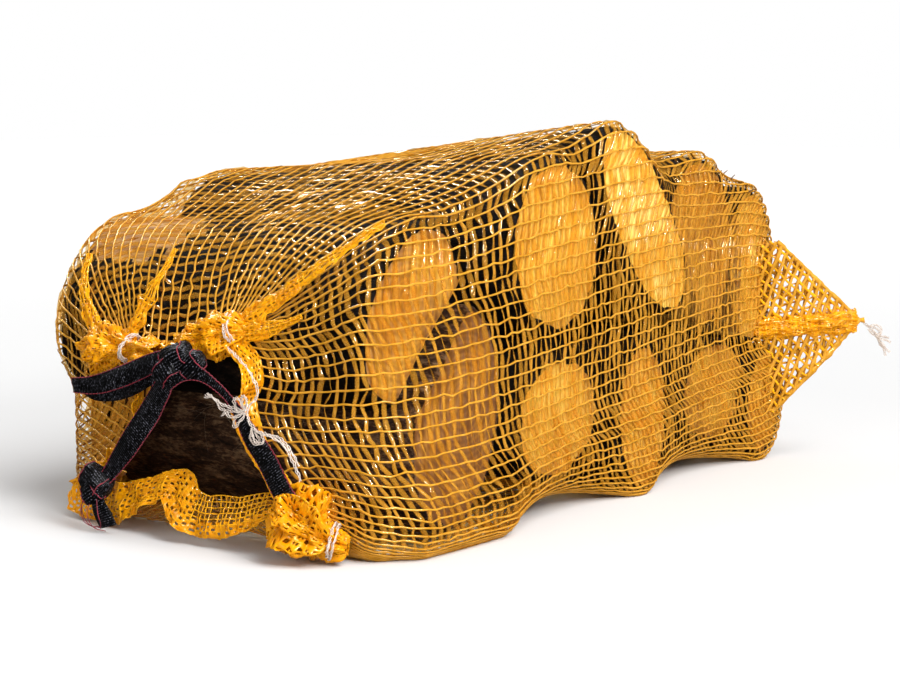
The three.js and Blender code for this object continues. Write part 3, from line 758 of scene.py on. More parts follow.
def build_log(name, log, seed, inset, bark_shade):
    """One split log with bark, split faces and sawn ends."""
    angles = np.linspace(0, 2 * math.pi, LOG_SIDES, endpoint=False)
    reach, on_split = section_outline(log, angles)
    wander = [noise.noise(Vector((math.cos(a) * 1.6, math.sin(a) * 1.6, seed * 3.3))) for a in angles]
    reach = reach - inset - UNEVEN_ROUND * np.abs(wander)
    half = LOG_LENGTH / 2 - inset
    places = [log["middle"] - half + 2 * half * step / LOG_STEPS for step in range(LOG_STEPS + 1)]
    pith = PITH_OFF * log["short"] * np.array([math.cos(seed), math.sin(seed)])
    points, from_pith, faces, kinds = [], [], [], []
    for y in places:
        cx, cz = section_centre(log, y)
        edge = min(y - places[0], places[-1] - y)
        rounding = SAW_ROUND * max(0.0, 1 - edge / SAW_BEVEL) ** 2
        for angle, radius, split in zip(angles, reach, on_split):
            lift = bark_relief(seed, angle, y, radius)
            height = SPLIT_RELIEF * lift if split else BARK_RELIEF * lift - BARK_INSET
            out = radius * thickening(log, y) + min(height, RELIEF_MOST) - rounding
            dx, dz = out * math.cos(angle), out * math.sin(angle)
            points.append((cx + dx, y, cz + dz))
            from_pith.append((dx - pith[0], y + GRAIN_APART * seed, dz - pith[1]))
    for step in range(LOG_STEPS):
        for side in range(LOG_SIDES):
            beside = (side + 1) % LOG_SIDES
            here, there = step * LOG_SIDES, (step + 1) * LOG_SIDES
            faces.append((here + beside, here + side, there + side, there + beside))
            pale = name in PALE_SPLITS and on_split[side] and on_split[beside]
            kinds.append(ON_SPLIT if pale or bark_is_off(log, angles[side], places[step]) else ON_BARK)
    for last in (False, True):
        rim = LOG_STEPS * LOG_SIDES if last else 0
        y = places[-1] if last else places[0]
        cx, cz = section_centre(log, y)
        before = rim
        for ring in range(1, END_RINGS + 1):
            start = len(points)
            for side in range(LOG_SIDES):
                x0, _, z0 = points[rim + side]
                dx, dz = x0 - cx, z0 - cz
                full = math.hypot(dx, dz)
                depth = SPLIT_EDGE if on_split[side] else BARK_THICKNESS
                share = (full - depth) / full * (1 - (ring - 1) / END_RINGS)
                dish = SAW_DISH * noise.noise(Vector((dx * share * 0.06, dz * share * 0.06, seed)))
                points.append((cx + dx * share, y + dish * (1 if last else -1), cz + dz * share))
                from_pith.append((dx * share - pith[0], y + GRAIN_APART * seed, dz * share - pith[1]))
            for side in range(LOG_SIDES):
                beside = (side + 1) % LOG_SIDES
                quad = (before + side, before + beside, start + beside, start + side)
                faces.append(quad[::-1] if last else quad)
                kinds.append(ON_BARK if ring == 1 and not on_split[side] else ON_SAWN)
            before = start
        points.append((cx, y, cz))
        from_pith.append((-pith[0], y + GRAIN_APART * seed, -pith[1]))
        for side in range(LOG_SIDES):
            tri = (before + side, before + (side + 1) % LOG_SIDES, len(points) - 1)
            faces.append(tri[::-1] if last else tri)
            kinds.append(ON_SAWN)
    tones_and_shade = np.full(len(points), log["tone"], np.float32)
    for end in range(2):
        first = LOG_SIDES * (LOG_STEPS + 1) + end * (END_RINGS * LOG_SIDES + 1)
        for ring, darker_by in enumerate(RIM_DARKENING):
            tones_and_shade[first + ring * LOG_SIDES:first + (ring + 1) * LOG_SIDES] += darker_by
    mesh = bpy.data.meshes.new(name)
    mesh.from_pydata(in_frame(points).tolist(), [], faces)
    for material in (BARK, SAWN, SPLIT):
        mesh.materials.append(material)
    mesh.polygons.foreach_set("material_index", kinds)
    store(mesh, "from_pith", from_pith)
    store(mesh, "tone", tones_and_shade)
    store(mesh, "bare", np.full(len(points), bark_shade))
    mesh.shade_smooth()
    mesh.set_sharp_from_angle(angle=math.radians(SHARP_FROM))
    mesh.update()
    return mesh


for seed, (name, log) in enumerate(LOGS.items(), 1):
    in_mouth = name == "mouth"
    inset, bark_shade = (MOUTH_INSET, BARE_BARK) if in_mouth else (0.0, NETTED_BARK_SHADE)
    mesh = build_log(f"log_{name}", log, seed, inset, bark_shade)
    new_piece(f"firewood_{name}", mesh)
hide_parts("log_at_mouth")


# %% [markdown]
# Dry bark sheds fibres, and fine pale hairs stand off the bark in the mouth. A hair is a short line that
# leaves the surface and curls over. All of them are drawn from one seeded source and swept like every other
# strand. The same functions later make the splinters that stick out through the net.

# %% Bark fibres
FIBRE_POINTS = 8
FIBRE_TIP = 0.4
HAIRS = 70
HAIR_WIDTH = 0.16
HAIR_LOOKS = (130, 205)
HAIR_PLACES = (-55, 30)
HAIR_LENGTHS = (9, 20)
HAIR_ROOT = 6
HAIR_TILT = 0.5
HAIR_CURL = 0.7
fibre_chance = np.random.default_rng(5)


def curled(start, leave, length, curl):
    """A short line that leaves a surface in one direction and curls over."""
    walk = np.linspace(0, 1, FIBRE_POINTS)[:, None]
    turn = fibre_chance.normal(0, curl, 3)
    return start + length * (walk * leave + walk**2 * turn)


def fibre_piece(name, lines, width, material):
    """Fibres that taper to their tips."""
    taper = [np.linspace(1, FIBRE_TIP, len(line)) for line in lines]
    facings = [squared((0.3, 0.2, 1), line) for line in lines]
    return new_piece(name, swept_mesh(name, lines, facings, width, material, spreads=taper))


HAIR = new_material("pale_bark_fibre", plain_thread, "#5a4836", "#a08c74", 0.9)
SPLINTER = new_material("torn_bark_splinter", plain_thread, "#2c1804", "#8a5a1c", 0.9)
mouth_log = LOGS["mouth"]
looks = np.radians(fibre_chance.uniform(*HAIR_LOOKS, HAIRS))
reaches, _ = section_outline(mouth_log, looks)
hairs = []
for look, reach in zip(looks, reaches):
    y = fibre_chance.uniform(*HAIR_PLACES)
    cx, cz = section_centre(mouth_log, y)
    leave = np.array([math.cos(look), fibre_chance.normal(0, HAIR_TILT), math.sin(look)])
    start = np.array([cx, y, cz]) + (reach - HAIR_ROOT) * np.array([math.cos(look), 0, math.sin(look)])
    hairs.append(curled(start, leave, fibre_chance.uniform(*HAIR_LENGTHS), HAIR_CURL))
fibre_piece("mouth_bark_hairs", hairs, HAIR_WIDTH, HAIR)
print("hairs", len(hairs))


# %% [markdown]
# A stretched net touches the wood only where the wood stands out, and spans the hollows between. To find
# that shape the script measures the distance to the nearest log, or to the slack pockets where the real net
# stands fuller than the wood. Points of the net are then pulled to the middle of their neighbours again and
# again, and pushed back out wherever they have sunk into a log.

# %% What holds the net out
EDGE_ROUND = 6
POCKET_ROUND = 18
NET_STANDOFF = 1.5
FLOOR_GAP = 1.2
LEAST_FACING = 0.35
WRAP_START = np.array([-140.0, 10.0, 62.0])
WRAP_END = np.array([150.0, 4.0, 95.0])
CORE = ((16, 8, 94), (168, 112, 70), EDGE_ROUND)
POCKETS = [
    ((-152, -102, 24), (52, 40, 24), POCKET_ROUND),
    ((-192, -82, 34), (26, 48, 34), POCKET_ROUND),
    ((-194, 62, 44), (24, 58, 44), POCKET_ROUND),
    ((-104, 84, 167), (26, 46, 29), POCKET_ROUND),
]


def rounded(faces, edge):
    """Distance to a shape bounded by several faces, with its edges rounded."""
    past = np.stack(faces) + edge
    return np.linalg.norm(np.maximum(past, 0), axis=0) + np.minimum(past.max(0), 0) - edge


def fill_distance(points):
    """Distance from each point to whatever holds the net out."""
    x, y, z = points.T
    found = []
    for log in LOGS.values():
        cx, cz = section_centre(log, y)
        size = thickening(log, y)
        dx, dz = (x - cx) / size, (z - cz) / size
        side = size * np.maximum(oval_distance(log, dx, dz), split_distance(log, dx, dz))
        found.append(rounded([side, np.abs(y - log["middle"]) - LOG_LENGTH / 2], EDGE_ROUND))
    for centre, half, edge in [*POCKETS, CORE]:
        found.append(rounded(list((np.abs(points - centre) - half).T), edge))
    return np.min(found, axis=0)


def outward_from_fill(points, probe=0.05):
    """Direction in which the distance to the fill grows."""
    here = fill_distance(points)
    slope = np.stack([fill_distance(points + probe * axis) - here for axis in np.eye(3)], 1)
    return unit(slope)


def from_inner_line(points):
    """Directions straight away from the line down the middle of the bag."""
    share = np.clip((points[:, 0] - WRAP_START[0]) / (WRAP_END[0] - WRAP_START[0]), 0, 1)[:, None]
    return unit(points - (WRAP_START + (WRAP_END - WRAP_START) * share))


def held_out(points, standoff):
    """Moves sunken points out of the fill, straight away from the bag's inner line, and off the floor."""
    short = standoff - fill_distance(points)
    sunk = short > 0
    points = points.copy()
    if sunk.any():
        away_from_fill = outward_from_fill(points[sunk])
        push = from_inner_line(points[sunk])
        facing = (away_from_fill * push).sum(1, keepdims=True)
        push = np.where(facing > LEAST_FACING, push / np.maximum(facing, LEAST_FACING), away_from_fill)
        points[sunk] += push * short[sunk, None]
    points[:, 2] = np.maximum(points[:, 2], FLOOR_GAP)
    return points


# %% [markdown]
# The mouth's rim and the seam at the other end are where the net's lines begin and end. The rim is a list
# of places: how far round the bag, the inner edge of the gathered hem, and its free outer edge.
# Many lines run together at the two gathered bundles on top and at the one by the floor.

# %% The gathered rim
HEM_PLACES = [
    (0.020, (-227, -92, 22), (-238, -84, 10)), (0.045, (-230, -63, 35), (-236, -63, 22)),
    (0.065, (-232, -55, 34), (-239, -54, 16)), (0.090, (-234, -42, 30), (-241, -42, 10)),
    (0.115, (-235, -28, 30), (-242, -30, 7)), (0.140, (-235, -17, 28), (-243, -18, 6)),
    (0.160, (-234, -8, 30), (-244, -1, 8)), (0.175, (-231, -2, 38), (-244, 8, 14)),
    (0.190, (-229, 6, 40), (-241, 12, 21)), (0.210, (-231, 14, 39), (-240, 17, 25)),
    (0.235, (-235, 30, 33), (-241, 36, 13)), (0.265, (-235, 54, 27), (-239, 55, 3)),
    (0.295, (-232, 78, 27), (-235, 84, 2)), (0.320, (-226, 98, 23), (-229, 105, 4)),
    (0.345, (-224, 96, 30), (-226, 108, 18)), (0.370, (-226, 80, 36), (-236, 76, 34)),
    (0.395, (-225, 60, 46), (-236, 56, 46)), (0.420, (-223, 50, 62), (-235, 46, 62)),
    (0.450, (-222, 50, 88), (-232, 42, 86)), (0.470, (-222, 66, 103), (-229, 66, 98)),
    (0.565, (-222, 54, 104), (-229, 54, 99)), (0.585, (-223, 36, 103), (-229, 34, 97)),
    (0.610, (-224, 12, 107), (-230, 12, 101)), (0.635, (-225, -18, 116), (-231, -14, 109)),
    (0.810, (-225, -34, 120), (-232, -29, 112)), (0.830, (-226, -49, 109), (-235, -43, 104)),
    (0.850, (-228, -54, 97), (-239, -48, 92)), (0.868, (-230, -49, 83), (-242, -40, 81)),
    (0.886, (-230, -55, 66), (-240, -49, 62)), (0.905, (-230, -68, 49), (-238, -62, 45)),
    (0.925, (-229, -84, 32), (-238, -78, 20)),
]
SEAM_X = 216
SEAM_HEIGHT = 95
SEAM_HALF = 116
EAR_HALF = 59
EAR_BACK = 26
SEAM_ROLL = 2
RIM_STEPS = 4001
RIM_WINDOW = 31


def round_the_rim(shares, edge):
    """Places on the rim's inner (1) or outer (2) edge at shares of the way round the bag."""
    keys = np.array([place[0] for place in HEM_PLACES])
    places = np.array([place[edge] for place in HEM_PLACES], float)
    keys = np.concatenate([keys - 1, keys, keys + 1])
    fine = np.linspace(-0.5, 1.5, RIM_STEPS)
    raw = at_places(fine, keys, np.vstack([places, places, places]))
    window = np.hanning(RIM_WINDOW)
    soft = np.stack([np.convolve(raw[:, axis], window / window.sum(), "same") for axis in range(3)], 1)
    return at_places(shares, fine, soft)


print("rim drawn through", len(HEM_PLACES), "places")


# %% [markdown]
# The net's grid has one column for each lengthwise strand and one row for each strand round the girth. It
# starts as rays from an inner line out to the wood, then it is pulled taut. Rows stand closer together
# where the real weave was drawn tight, so each column has its own share of room for every row.

# %% The net's grid
COLUMNS = 118
ROWS = 106
SURFACE_ROWS = 62
GIRTH_WIDTH = 270
GIRTH_HEIGHT = 224
EVENING = 3
REACH = 420
PULL = 0.7
PASSES = 150
MOUTH_TILT, END_TILT = -58, 72
TILTED, STRAIGHT = 9, 40
FRONT_GAPS = ([0, 0.1, 0.2, 0.34, 1], [5.4, 5.8, 7.4, 5.2, 4.5])
TOP_GAPS = ([0, 0.2, 0.25, 0.72, 0.8, 1], [6.8, 6.8, 7.8, 7.8, 4.4, 4.2])
TOP_SHARES = ([0.0, 0.15, 0.35, 0.5, 0.64, 0.82, 1.0], [0, 0.4, 0.8, 1, 1, 0, 0])


def girth_directions(shares):
    """Directions round the bag, evenly spread along a box of its girth, from the lower front corner."""
    walk = shares * 2 * (GIRTH_WIDTH + GIRTH_HEIGHT)
    y = np.clip(walk, 0, GIRTH_WIDTH) - np.clip(walk - GIRTH_WIDTH - GIRTH_HEIGHT, 0, GIRTH_WIDTH)
    z = np.clip(walk - GIRTH_WIDTH, 0, GIRTH_HEIGHT)
    z = z - np.maximum(walk - 2 * GIRTH_WIDTH - GIRTH_HEIGHT, 0)
    return np.stack([np.zeros_like(walk), y - GIRTH_WIDTH / 2, z - GIRTH_HEIGHT / 2], 1)


def walked_in(origin, directions):
    """Where rays from an inner point leave the fill, found by walking in from outside."""
    reach = np.full(len(directions), float(REACH))
    for _ in range(CREEPS):
        gap = fill_distance(origin + directions * reach[:, None]) - NET_STANDOFF
        reach = np.maximum(reach - CREEP * gap, 0)
    return origin + directions * reach[:, None]


def seam_places(box):
    """Where each column ends: on the seam across the sewn end, or at the root of an ear."""
    y = np.clip(box[:, 1] * SEAM_HALF / (GIRTH_WIDTH / 2), -SEAM_HALF, SEAM_HALF)
    rise = box[:, 2] / (GIRTH_HEIGHT / 2)
    corner = np.clip((np.abs(box[:, 1]) - 0.86 * GIRTH_WIDTH / 2) / (0.14 * GIRTH_WIDTH / 2), 0, 1)
    x = SEAM_X - EAR_BACK * corner
    z = SEAM_HEIGHT + rise * (SEAM_ROLL + (EAR_HALF - SEAM_ROLL) * corner)
    return np.stack([x, y, z], 1)


def row_places(shares):
    """How far along its column each tape crosses it, as a share of the column's length."""
    step = np.linspace(0, 1, ROWS - 1)[:, None]
    front, top = np.interp(step, *FRONT_GAPS), np.interp(step, *TOP_GAPS)
    bend = np.interp(shares, *TOP_SHARES)[None, :]
    room = front * (1 - bend) + top * bend
    return np.vstack([np.zeros(len(shares)), np.cumsum(room / room.sum(0), 0)])


def spaced(rings, places):
    """Points on every column at shares of its own length."""
    found = np.empty((len(places), rings.shape[1], 3))
    for column in range(rings.shape[1]):
        walked = walked_along(rings[:, column])
        found[:, column] = at_places(places[:, column] * walked[-1], walked, rings[:, column])
    return found


def facing_out(rings):
    """Normals of the net's surface, pointing away from the wood."""
    along = np.gradient(rings, axis=0)
    around = np.roll(rings, -1, axis=1) - np.roll(rings, 1, axis=1)
    normals = unit(np.cross(around, along))
    outward = ((rings - rings.mean((0, 1))) * normals).sum()
    return normals if outward > 0 else -normals


def net_grid():
    """The taut net as rows and columns of points."""
    shares = np.arange(COLUMNS) / COLUMNS
    box = girth_directions(shares)
    stations = [(0.0, tilt) for tilt in np.radians(np.linspace(MOUTH_TILT, 0, TILTED))]
    stations += [(share, 0.0) for share in np.linspace(0, 1, STRAIGHT)[1:-1]]
    stations += [(1.0, tilt) for tilt in np.radians(np.linspace(0, END_TILT, TILTED))]
    outward = unit(box)
    rings = [round_the_rim(shares, 1)]
    for share, tilt in stations:
        origin = WRAP_START + (WRAP_END - WRAP_START) * share
        direction = outward * math.cos(tilt) + np.array([math.sin(tilt), 0, 0])
        rings.append(walked_in(origin, direction))
    rings.append(seam_places(box))
    even = np.repeat(np.linspace(0, 1, SURFACE_ROWS)[:, None], COLUMNS, 1)
    taut = spaced(np.stack(rings), even)
    for _ in range(PASSES):
        beside = (np.roll(taut, 1, axis=1) + np.roll(taut, -1, axis=1))[1:-1]
        mean = (beside + taut[2:] + taut[:-2]) / 4
        pulled = taut[1:-1] + PULL * (mean - taut[1:-1])
        taut[1:-1] = held_out(pulled.reshape(-1, 3), NET_STANDOFF).reshape(pulled.shape)
    woven = spaced(taut, row_places(shares))
    for _ in range(EVENING):
        woven[1:-1] = (2 * woven[1:-1] + woven[2:] + woven[:-2]) / 4
    return held_out(woven.reshape(-1, 3), NET_STANDOFF).reshape(woven.shape)


grid = net_grid()
along_grid = unit(np.gradient(grid, axis=0))
round_grid = unit(np.roll(grid, -1, axis=1) - np.roll(grid, 1, axis=1))
normal_grid = facing_out(grid)
print("net rows", ROWS, "columns", COLUMNS, "mean gap",
      round(float(np.linalg.norm(np.diff(grid, axis=0), axis=2).mean()), 1), "mm along and",
      round(float(np.linalg.norm(grid - np.roll(grid, 1, axis=1), axis=2).mean()), 1), "mm round")


# %% [markdown]
# Near the right end of the top row a log has lost bark, and coarse dark splinters stand out through the
# net. Each starts just under the net at a crossing that is picked by chance.

# %% Splinters
TORN_PLACE = np.array([160.0, -112.0, 194.0])
TORN_HALF = np.array([20.0, 24.0, 14.0])
SPLINTERS = 20
SPLINTER_WIDTH = 1.3
SPLINTER_LENGTHS = (3, 6)
SPLINTER_ROOT = 2
SPLINTER_LEAN = 0.7
SPLINTER_CURL = 0.4
near = (np.abs(grid - TORN_PLACE) < TORN_HALF).all(2)
picked = fibre_chance.permutation(np.argwhere(near))[:SPLINTERS]
splinters = [
    curled(grid[row, column] - SPLINTER_ROOT * normal_grid[row, column],
           normal_grid[row, column] + SPLINTER_LEAN * along_grid[row, column] * fibre_chance.normal(0, 1),
           fibre_chance.uniform(*SPLINTER_LENGTHS), SPLINTER_CURL)
    for row, column in picked
]
fibre_piece("torn_bark_splinters", splinters, SPLINTER_WIDTH, SPLINTER)
print("splinters", len(splinters))


# %% [markdown]
# The net is woven from slit polypropylene film. The strands round the girth are single flat tapes, thin
# enough to see through, so they turn olive over a dark gap and golden over pale wood. They are glossy, which
# gives the small white glints. The lengthwise strands are twisted pairs, too dense to see through, and so
# are the strands bunched in the hem.

# %% Net materials
TAPE_LEAST = 1.7
TAPE_MOST = 4.8
TAPE_FLAT = 3.4


def slit_film(tree, dark, light, cover, roughness, gloss, tint="#fff0cc", folded=None):
    """Slit polypropylene film: a clean gloss over an amber tint, denser where the tape is folded narrow."""
    if folded:
        width = add(tree, "ShaderNodeAttribute", attribute_name="spread").outputs["Fac"]
        cover = add(tree, "ShaderNodeMapRange", {
            "Value": width, "From Min": TAPE_LEAST, "From Max": TAPE_FLAT, "To Min": folded, "To Max": cover,
        }).outputs["Result"]
    place = add(tree, "ShaderNodeTexCoord").outputs["Object"]
    uneven = add(tree, "ShaderNodeTexNoise", {"Vector": place, "Scale": 1 / (7 * MM), "Detail": 3.0})
    colour = add(tree, "ShaderNodeValToRGB", {"Fac": uneven.outputs["Fac"]},
                 steps=[(0.3, dark), (0.7, light)])
    stretch = add(tree, "ShaderNodeTexNoise", {"Vector": place, "Scale": 1 / (1.2 * MM), "Detail": 2.0})
    bump = add(tree, "ShaderNodeBump",
               {"Height": stretch.outputs["Fac"], "Strength": 0.12, "Distance": 0.3 * MM})
    film = add(tree, "ShaderNodeBsdfPrincipled", {
        "Base Color": colour.outputs["Color"], "Roughness": roughness, "IOR": 1.49, "Specular IOR Level": 0.3,
        "Specular Tint": linear("#ffdc98"), "Coat Weight": gloss, "Coat Roughness": 0.09, "Coat IOR": 1.6,
        "Normal": bump.outputs["Normal"],
    })
    through = add(tree, "ShaderNodeBsdfTransparent", {"Color": linear(tint)})
    return add(tree, "ShaderNodeMixShader",
               {"Fac": cover, 1: through.outputs["BSDF"], 2: film.outputs["BSDF"]})


TAPE, TWINE, GATHERED, BUNCHED = [
    new_material(f"{name}_polypropylene_{form}", slit_film, *values, **extra)
    for name, form, values, extra in (
        ("slit", "tape", ("#d0942a", "#e6a83c", 0.2, 0.14, 1.0), {"folded": 0.62}),
        ("twisted", "strand", ("#bc821a", "#dea038", 1.0, 0.3, 0.15), {}),
        ("gathered", "film", ("#e48c02", "#fcac06", 0.88, 0.34, 0.3), {"tint": "#ffc450"}),
        ("bunched", "strand", ("#e29806", "#fcb412", 1.0, 0.34, 0.25), {}),
    )
]
print("net", TAPE.name, TWINE.name, GATHERED.name, BUNCHED.name)


# %% [markdown]
# In a leno weave a pair of lengthwise strands twists round each cross tape and pinches it. So a tape is
# narrow where it is crossed and wide between, it slips a little to and fro at each crossing, and it tips
# over by chance. Those small faults come from one seeded source: they are what makes the net look woven.

# %% Lengthwise strands and cross tapes
TWINE_WIDTH = 1.0
TWINE_THICKNESS = 0.75
TWINE_PROUD = 0.55
TWINE_SWAY = 0.5
TAPE_SHARE = 0.47
TAPE_THICKNESS = 0.09
TAPE_ARCH = 0.2
TAPE_DRIFT = 0.05
PINCHED = 0.94
SLIP, SLIP_MOST = 0.1, 0.36
LEAN = 0.12
TIGHT_GAP, WIDE_GAP = 5.0, 7.5
TIP_OVER = 24
TIP_FROM = 8
WIDTH_DRIFT = 0.2
DRIFT_OVER = 2
chance = np.random.default_rng(11)


def lengthwise_strands():
    """Twisted pairs that run from the mouth to the seam."""
    sway = chance.normal(0, TWINE_SWAY, (ROWS, COLUMNS, 1)) * round_grid
    points = grid + normal_grid * TWINE_PROUD + sway
    points[:, :, 2] = np.maximum(points[:, :, 2], FLOOR_GAP / 2)
    columns = [points[:, column] for column in range(COLUMNS)]
    facing = [normal_grid[:, column] for column in range(COLUMNS)]
    spread = [chance.normal(1, 0.1, ROWS).clip(0.75, 1.3) for _ in range(COLUMNS)]
    return swept_mesh("lengthwise_strands", columns, facing, TWINE_WIDTH, TWINE, TWINE_THICKNESS, spread)


def drifting(spread, count):
    """Chance values that change slowly along a closed strand."""
    raw = chance.normal(0, 1, count)
    soft = sum(np.roll(raw, shift) for shift in range(-DRIFT_OVER, DRIFT_OVER + 1))
    return spread * soft / math.sqrt(2 * DRIFT_OVER + 1)


def cross_tapes(first, last):
    """Flat tapes round the girth, pinched at every crossing, for a run of rows."""
    gap = np.gradient(grid, axis=0)
    room = np.linalg.norm(gap, axis=2)
    weave = np.where((np.arange(ROWS)[:, None] + np.arange(COLUMNS)) % 2, 1, -1)
    close = np.clip((WIDE_GAP - room) / (WIDE_GAP - TIGHT_GAP), 0, 1)
    slip = chance.normal(0, SLIP, (ROWS, COLUMNS)) + LEAN * close * weave
    crossing = grid + gap * slip.clip(-SLIP_MOST, SLIP_MOST)[:, :, None]
    following = np.roll(crossing, -1, axis=1)
    drift = chance.normal(0, TAPE_DRIFT, (ROWS, COLUMNS, 1))
    between = (crossing + following) / 2 + normal_grid * TAPE_ARCH + gap * drift
    lines, facings, spreads = [], [], []
    for row in range(first, last):
        line = np.stack([crossing[row], between[row]], 1).reshape(-1, 3)
        tip = np.radians(drifting(TIP_OVER, 2 * COLUMNS)) * np.clip((line[:, 2] - FLOOR_GAP) / TIP_FROM, 0, 1)
        normal = np.repeat(normal_grid[row], 2, axis=0)
        along = np.repeat(along_grid[row], 2, axis=0)
        facing = normal * np.cos(tip)[:, None] + along * np.sin(tip)[:, None]
        width = np.repeat((TAPE_SHARE * room[row]).clip(TAPE_LEAST, TAPE_MOST), 2)
        width = width * (1 + drifting(WIDTH_DRIFT, 2 * COLUMNS)).clip(0.5, 1.3)
        width[::2] = PINCHED * width[::2]
        hang = 0.5 * width * np.abs(np.cross(tangents(line, True), facing)[:, 2])
        line[:, 2] = np.maximum(line[:, 2], hang + FLOOR_GAP / 4)
        lines.append(line)
        facings.append(facing)
        spreads.append(width)
    return swept_mesh("cross_tapes", lines, facings, 1.0, TAPE, TAPE_THICKNESS, spreads, closed=True)


strands = new_piece("net_lengthwise_strands", lengthwise_strands())
halves = [
    new_piece(f"net_cross_tapes_{where}", cross_tapes(first, last))
    for where, first, last in (("mouth_half", 1, ROWS // 2), ("sewn_half", ROWS // 2, ROWS - 1))
]
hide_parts("net_bag")
print("strands", len(strands.data.polygons), "faces, tapes", [len(half.data.polygons) for half in halves])


# %% [markdown]
# The hem is the same film woven tight, with only pinholes left, and gathered into ruffles by the drawstring.
# It is made as a grid of small faces between the rim's two edges. Some faces are left out as pinholes, a
# Solidify modifier gives the film its thickness, and single strands of the weave stand proud of it. Under
# the mouth the inner part of the hem has no film, so only the open weave shows there.

# %% Gathered film
FILM_THICKNESS = 0.5
SLIT_LENGTH = 3
CROSSINGS_SHOWN = 0.7
WEAVE_FLATNESS = 0.75


def film_mesh(name, points, closed, holes, bare):
    """A sheet of tight weave from rows of points, with pinholes and with its first faces bare in each row."""
    long, wide = points.shape[:2]
    open_slit = chance.random((long // SLIT_LENGTH + 1, wide)) < holes
    faces = []
    for step in range(long if closed else long - 1):
        following = (step + 1) % long
        place = step // SLIT_LENGTH
        for side in range(wide - 1):
            woven_open = step % SLIT_LENGTH and (place + side) % 2 and 0 < side < wide - 2
            if side < bare[step] or woven_open and open_slit[place, side]:
                continue
            faces.append((step * wide + side, step * wide + side + 1,
                          following * wide + side + 1, following * wide + side))
    sheet = bpy.data.meshes.new(name)
    sheet.from_pydata(in_frame(points.reshape(-1, 3)).tolist(), [], faces)
    sheet.materials.append(GATHERED)
    holder = placed(name, sheet)
    shell = holder.modifiers.new("film", "SOLIDIFY")
    shell.thickness = FILM_THICKNESS * MM
    shell.offset = 0
    return as_modified(name, holder)


def woven_sheet(name, points, bare, closed, holes, along_every, across_every, strand):
    """A crumpled sheet: film with pinholes where it is not bare, and strands that stand proud of it."""
    sheet = new_piece(name, film_mesh(name, points, closed, holes, bare))
    normals = unit(np.cross(np.gradient(points, axis=0), np.gradient(points, axis=1)))
    ring = np.arange(len(points) + 1) % len(points) if closed else np.arange(len(points))
    lines = [points[ring, side] for side in range(0, points.shape[1], across_every)]
    facings = [normals[ring, side] for side in range(0, points.shape[1], across_every)]
    crossings = [step for step in range(0, len(points), along_every) if chance.random() < CROSSINGS_SHOWN]
    lines += [points[step] for step in crossings]
    facings += [normals[step] for step in crossings]
    lines = [line + facing * chance.normal(0.2, 0.25, (len(line), 1)) for line, facing in zip(lines, facings)]
    for line in lines:
        line[:, 2] = np.maximum(line[:, 2], FLOOR_GAP)
    spreads = [chance.normal(1, 0.25, len(line)).clip(0.5, 1.6) for line in lines]
    weave = swept_mesh(name + "_weave", lines, facings, strand, BUNCHED, WEAVE_FLATNESS * strand, spreads)
    new_piece(name + "_weave", weave)
    return sheet


# %% Hem
HEM_STEP = 1.1
HEM_ACROSS = 15
HEM_BARE = 9
HEM_OPEN = (0.03, 0.155)
HEM_HOLES = 0.85
HEM_STRAND = 0.6
RIM_POINTS = 3000
RUFFLE = 1.8
shares = np.linspace(0, 1, RIM_POINTS, endpoint=False)
inner, outer = round_the_rim(shares, 1), round_the_rim(shares, 2)
walked = walked_along((inner + outer) / 2)
count = int(walked[-1] / HEM_STEP)
places = np.linspace(0, walked[-1], count, endpoint=False)
inner, outer = at_places(places, walked, inner), at_places(places, walked, outer)
across = np.linspace(0, 1, HEM_ACROSS)[None, :, None]
strip = inner[:, None] * (1 - across) + outer[:, None] * across
level = unit(np.cross(np.gradient(strip, axis=0), np.gradient(strip, axis=1)))
ruffle = np.array([[
    RUFFLE * (0.35 + side / HEM_ACROSS) * (
        0.5 * math.sin(place / 3.1 + 0.25 * side) + 1.8 * noise.noise(Vector((place / 11, side / 6, 4.2)))
        + 0.9 * (0.5 - 2 * abs(noise.noise(Vector((place / 4.5, side / 4, 9.7))))))
    for side in range(HEM_ACROSS)] for place in places])
strip = strip + level * ruffle[:, :, None]
strip[:, :, 2] = np.maximum(strip[:, :, 2], FLOOR_GAP)
hem_share = np.interp(places, walked, shares)
bare = np.where((hem_share > HEM_OPEN[0]) & (hem_share < HEM_OPEN[1]), HEM_BARE, 0)
hem = woven_sheet("net_gathered_hem", strip, bare, True, HEM_HOLES, 3, 2, HEM_STRAND)
print("hem", round(walked[-1]), "mm round,", len(hem.data.polygons), "faces")


# %% [markdown]
# Where the hem is tied it is crushed into bundles. A bundle is a tube of film round a short spine with deep
# folds along it: the radius swings in and out several times on the way round, and the folds wander. Pleats
# run from the bundles out over the taut net. A pleat is a ridged strip, at first film and then open weave.

# %% Shapes of bundles and pleats
BUNDLE_STEP = 1.2
BUNDLE_SIDES = 100
BUNDLE_STRAND = 0.7
BUNDLE_HOLES = 0.75
FOLD_WANDER, FOLD_TWIST = 2.6, 0.03
CREASE, CRUMPLE = 0.42, 0.3
PLEAT_STEP = 1.2
PLEAT_STANDOFF = 2.0
PLEAT_EVENING = 6
PLEAT_FILM = 0.45
PLEAT_ACROSS = 19
PLEAT_HOLES = 0.9
PLEAT_ARCH, PLEAT_RIDGE = 0.14, 1.5


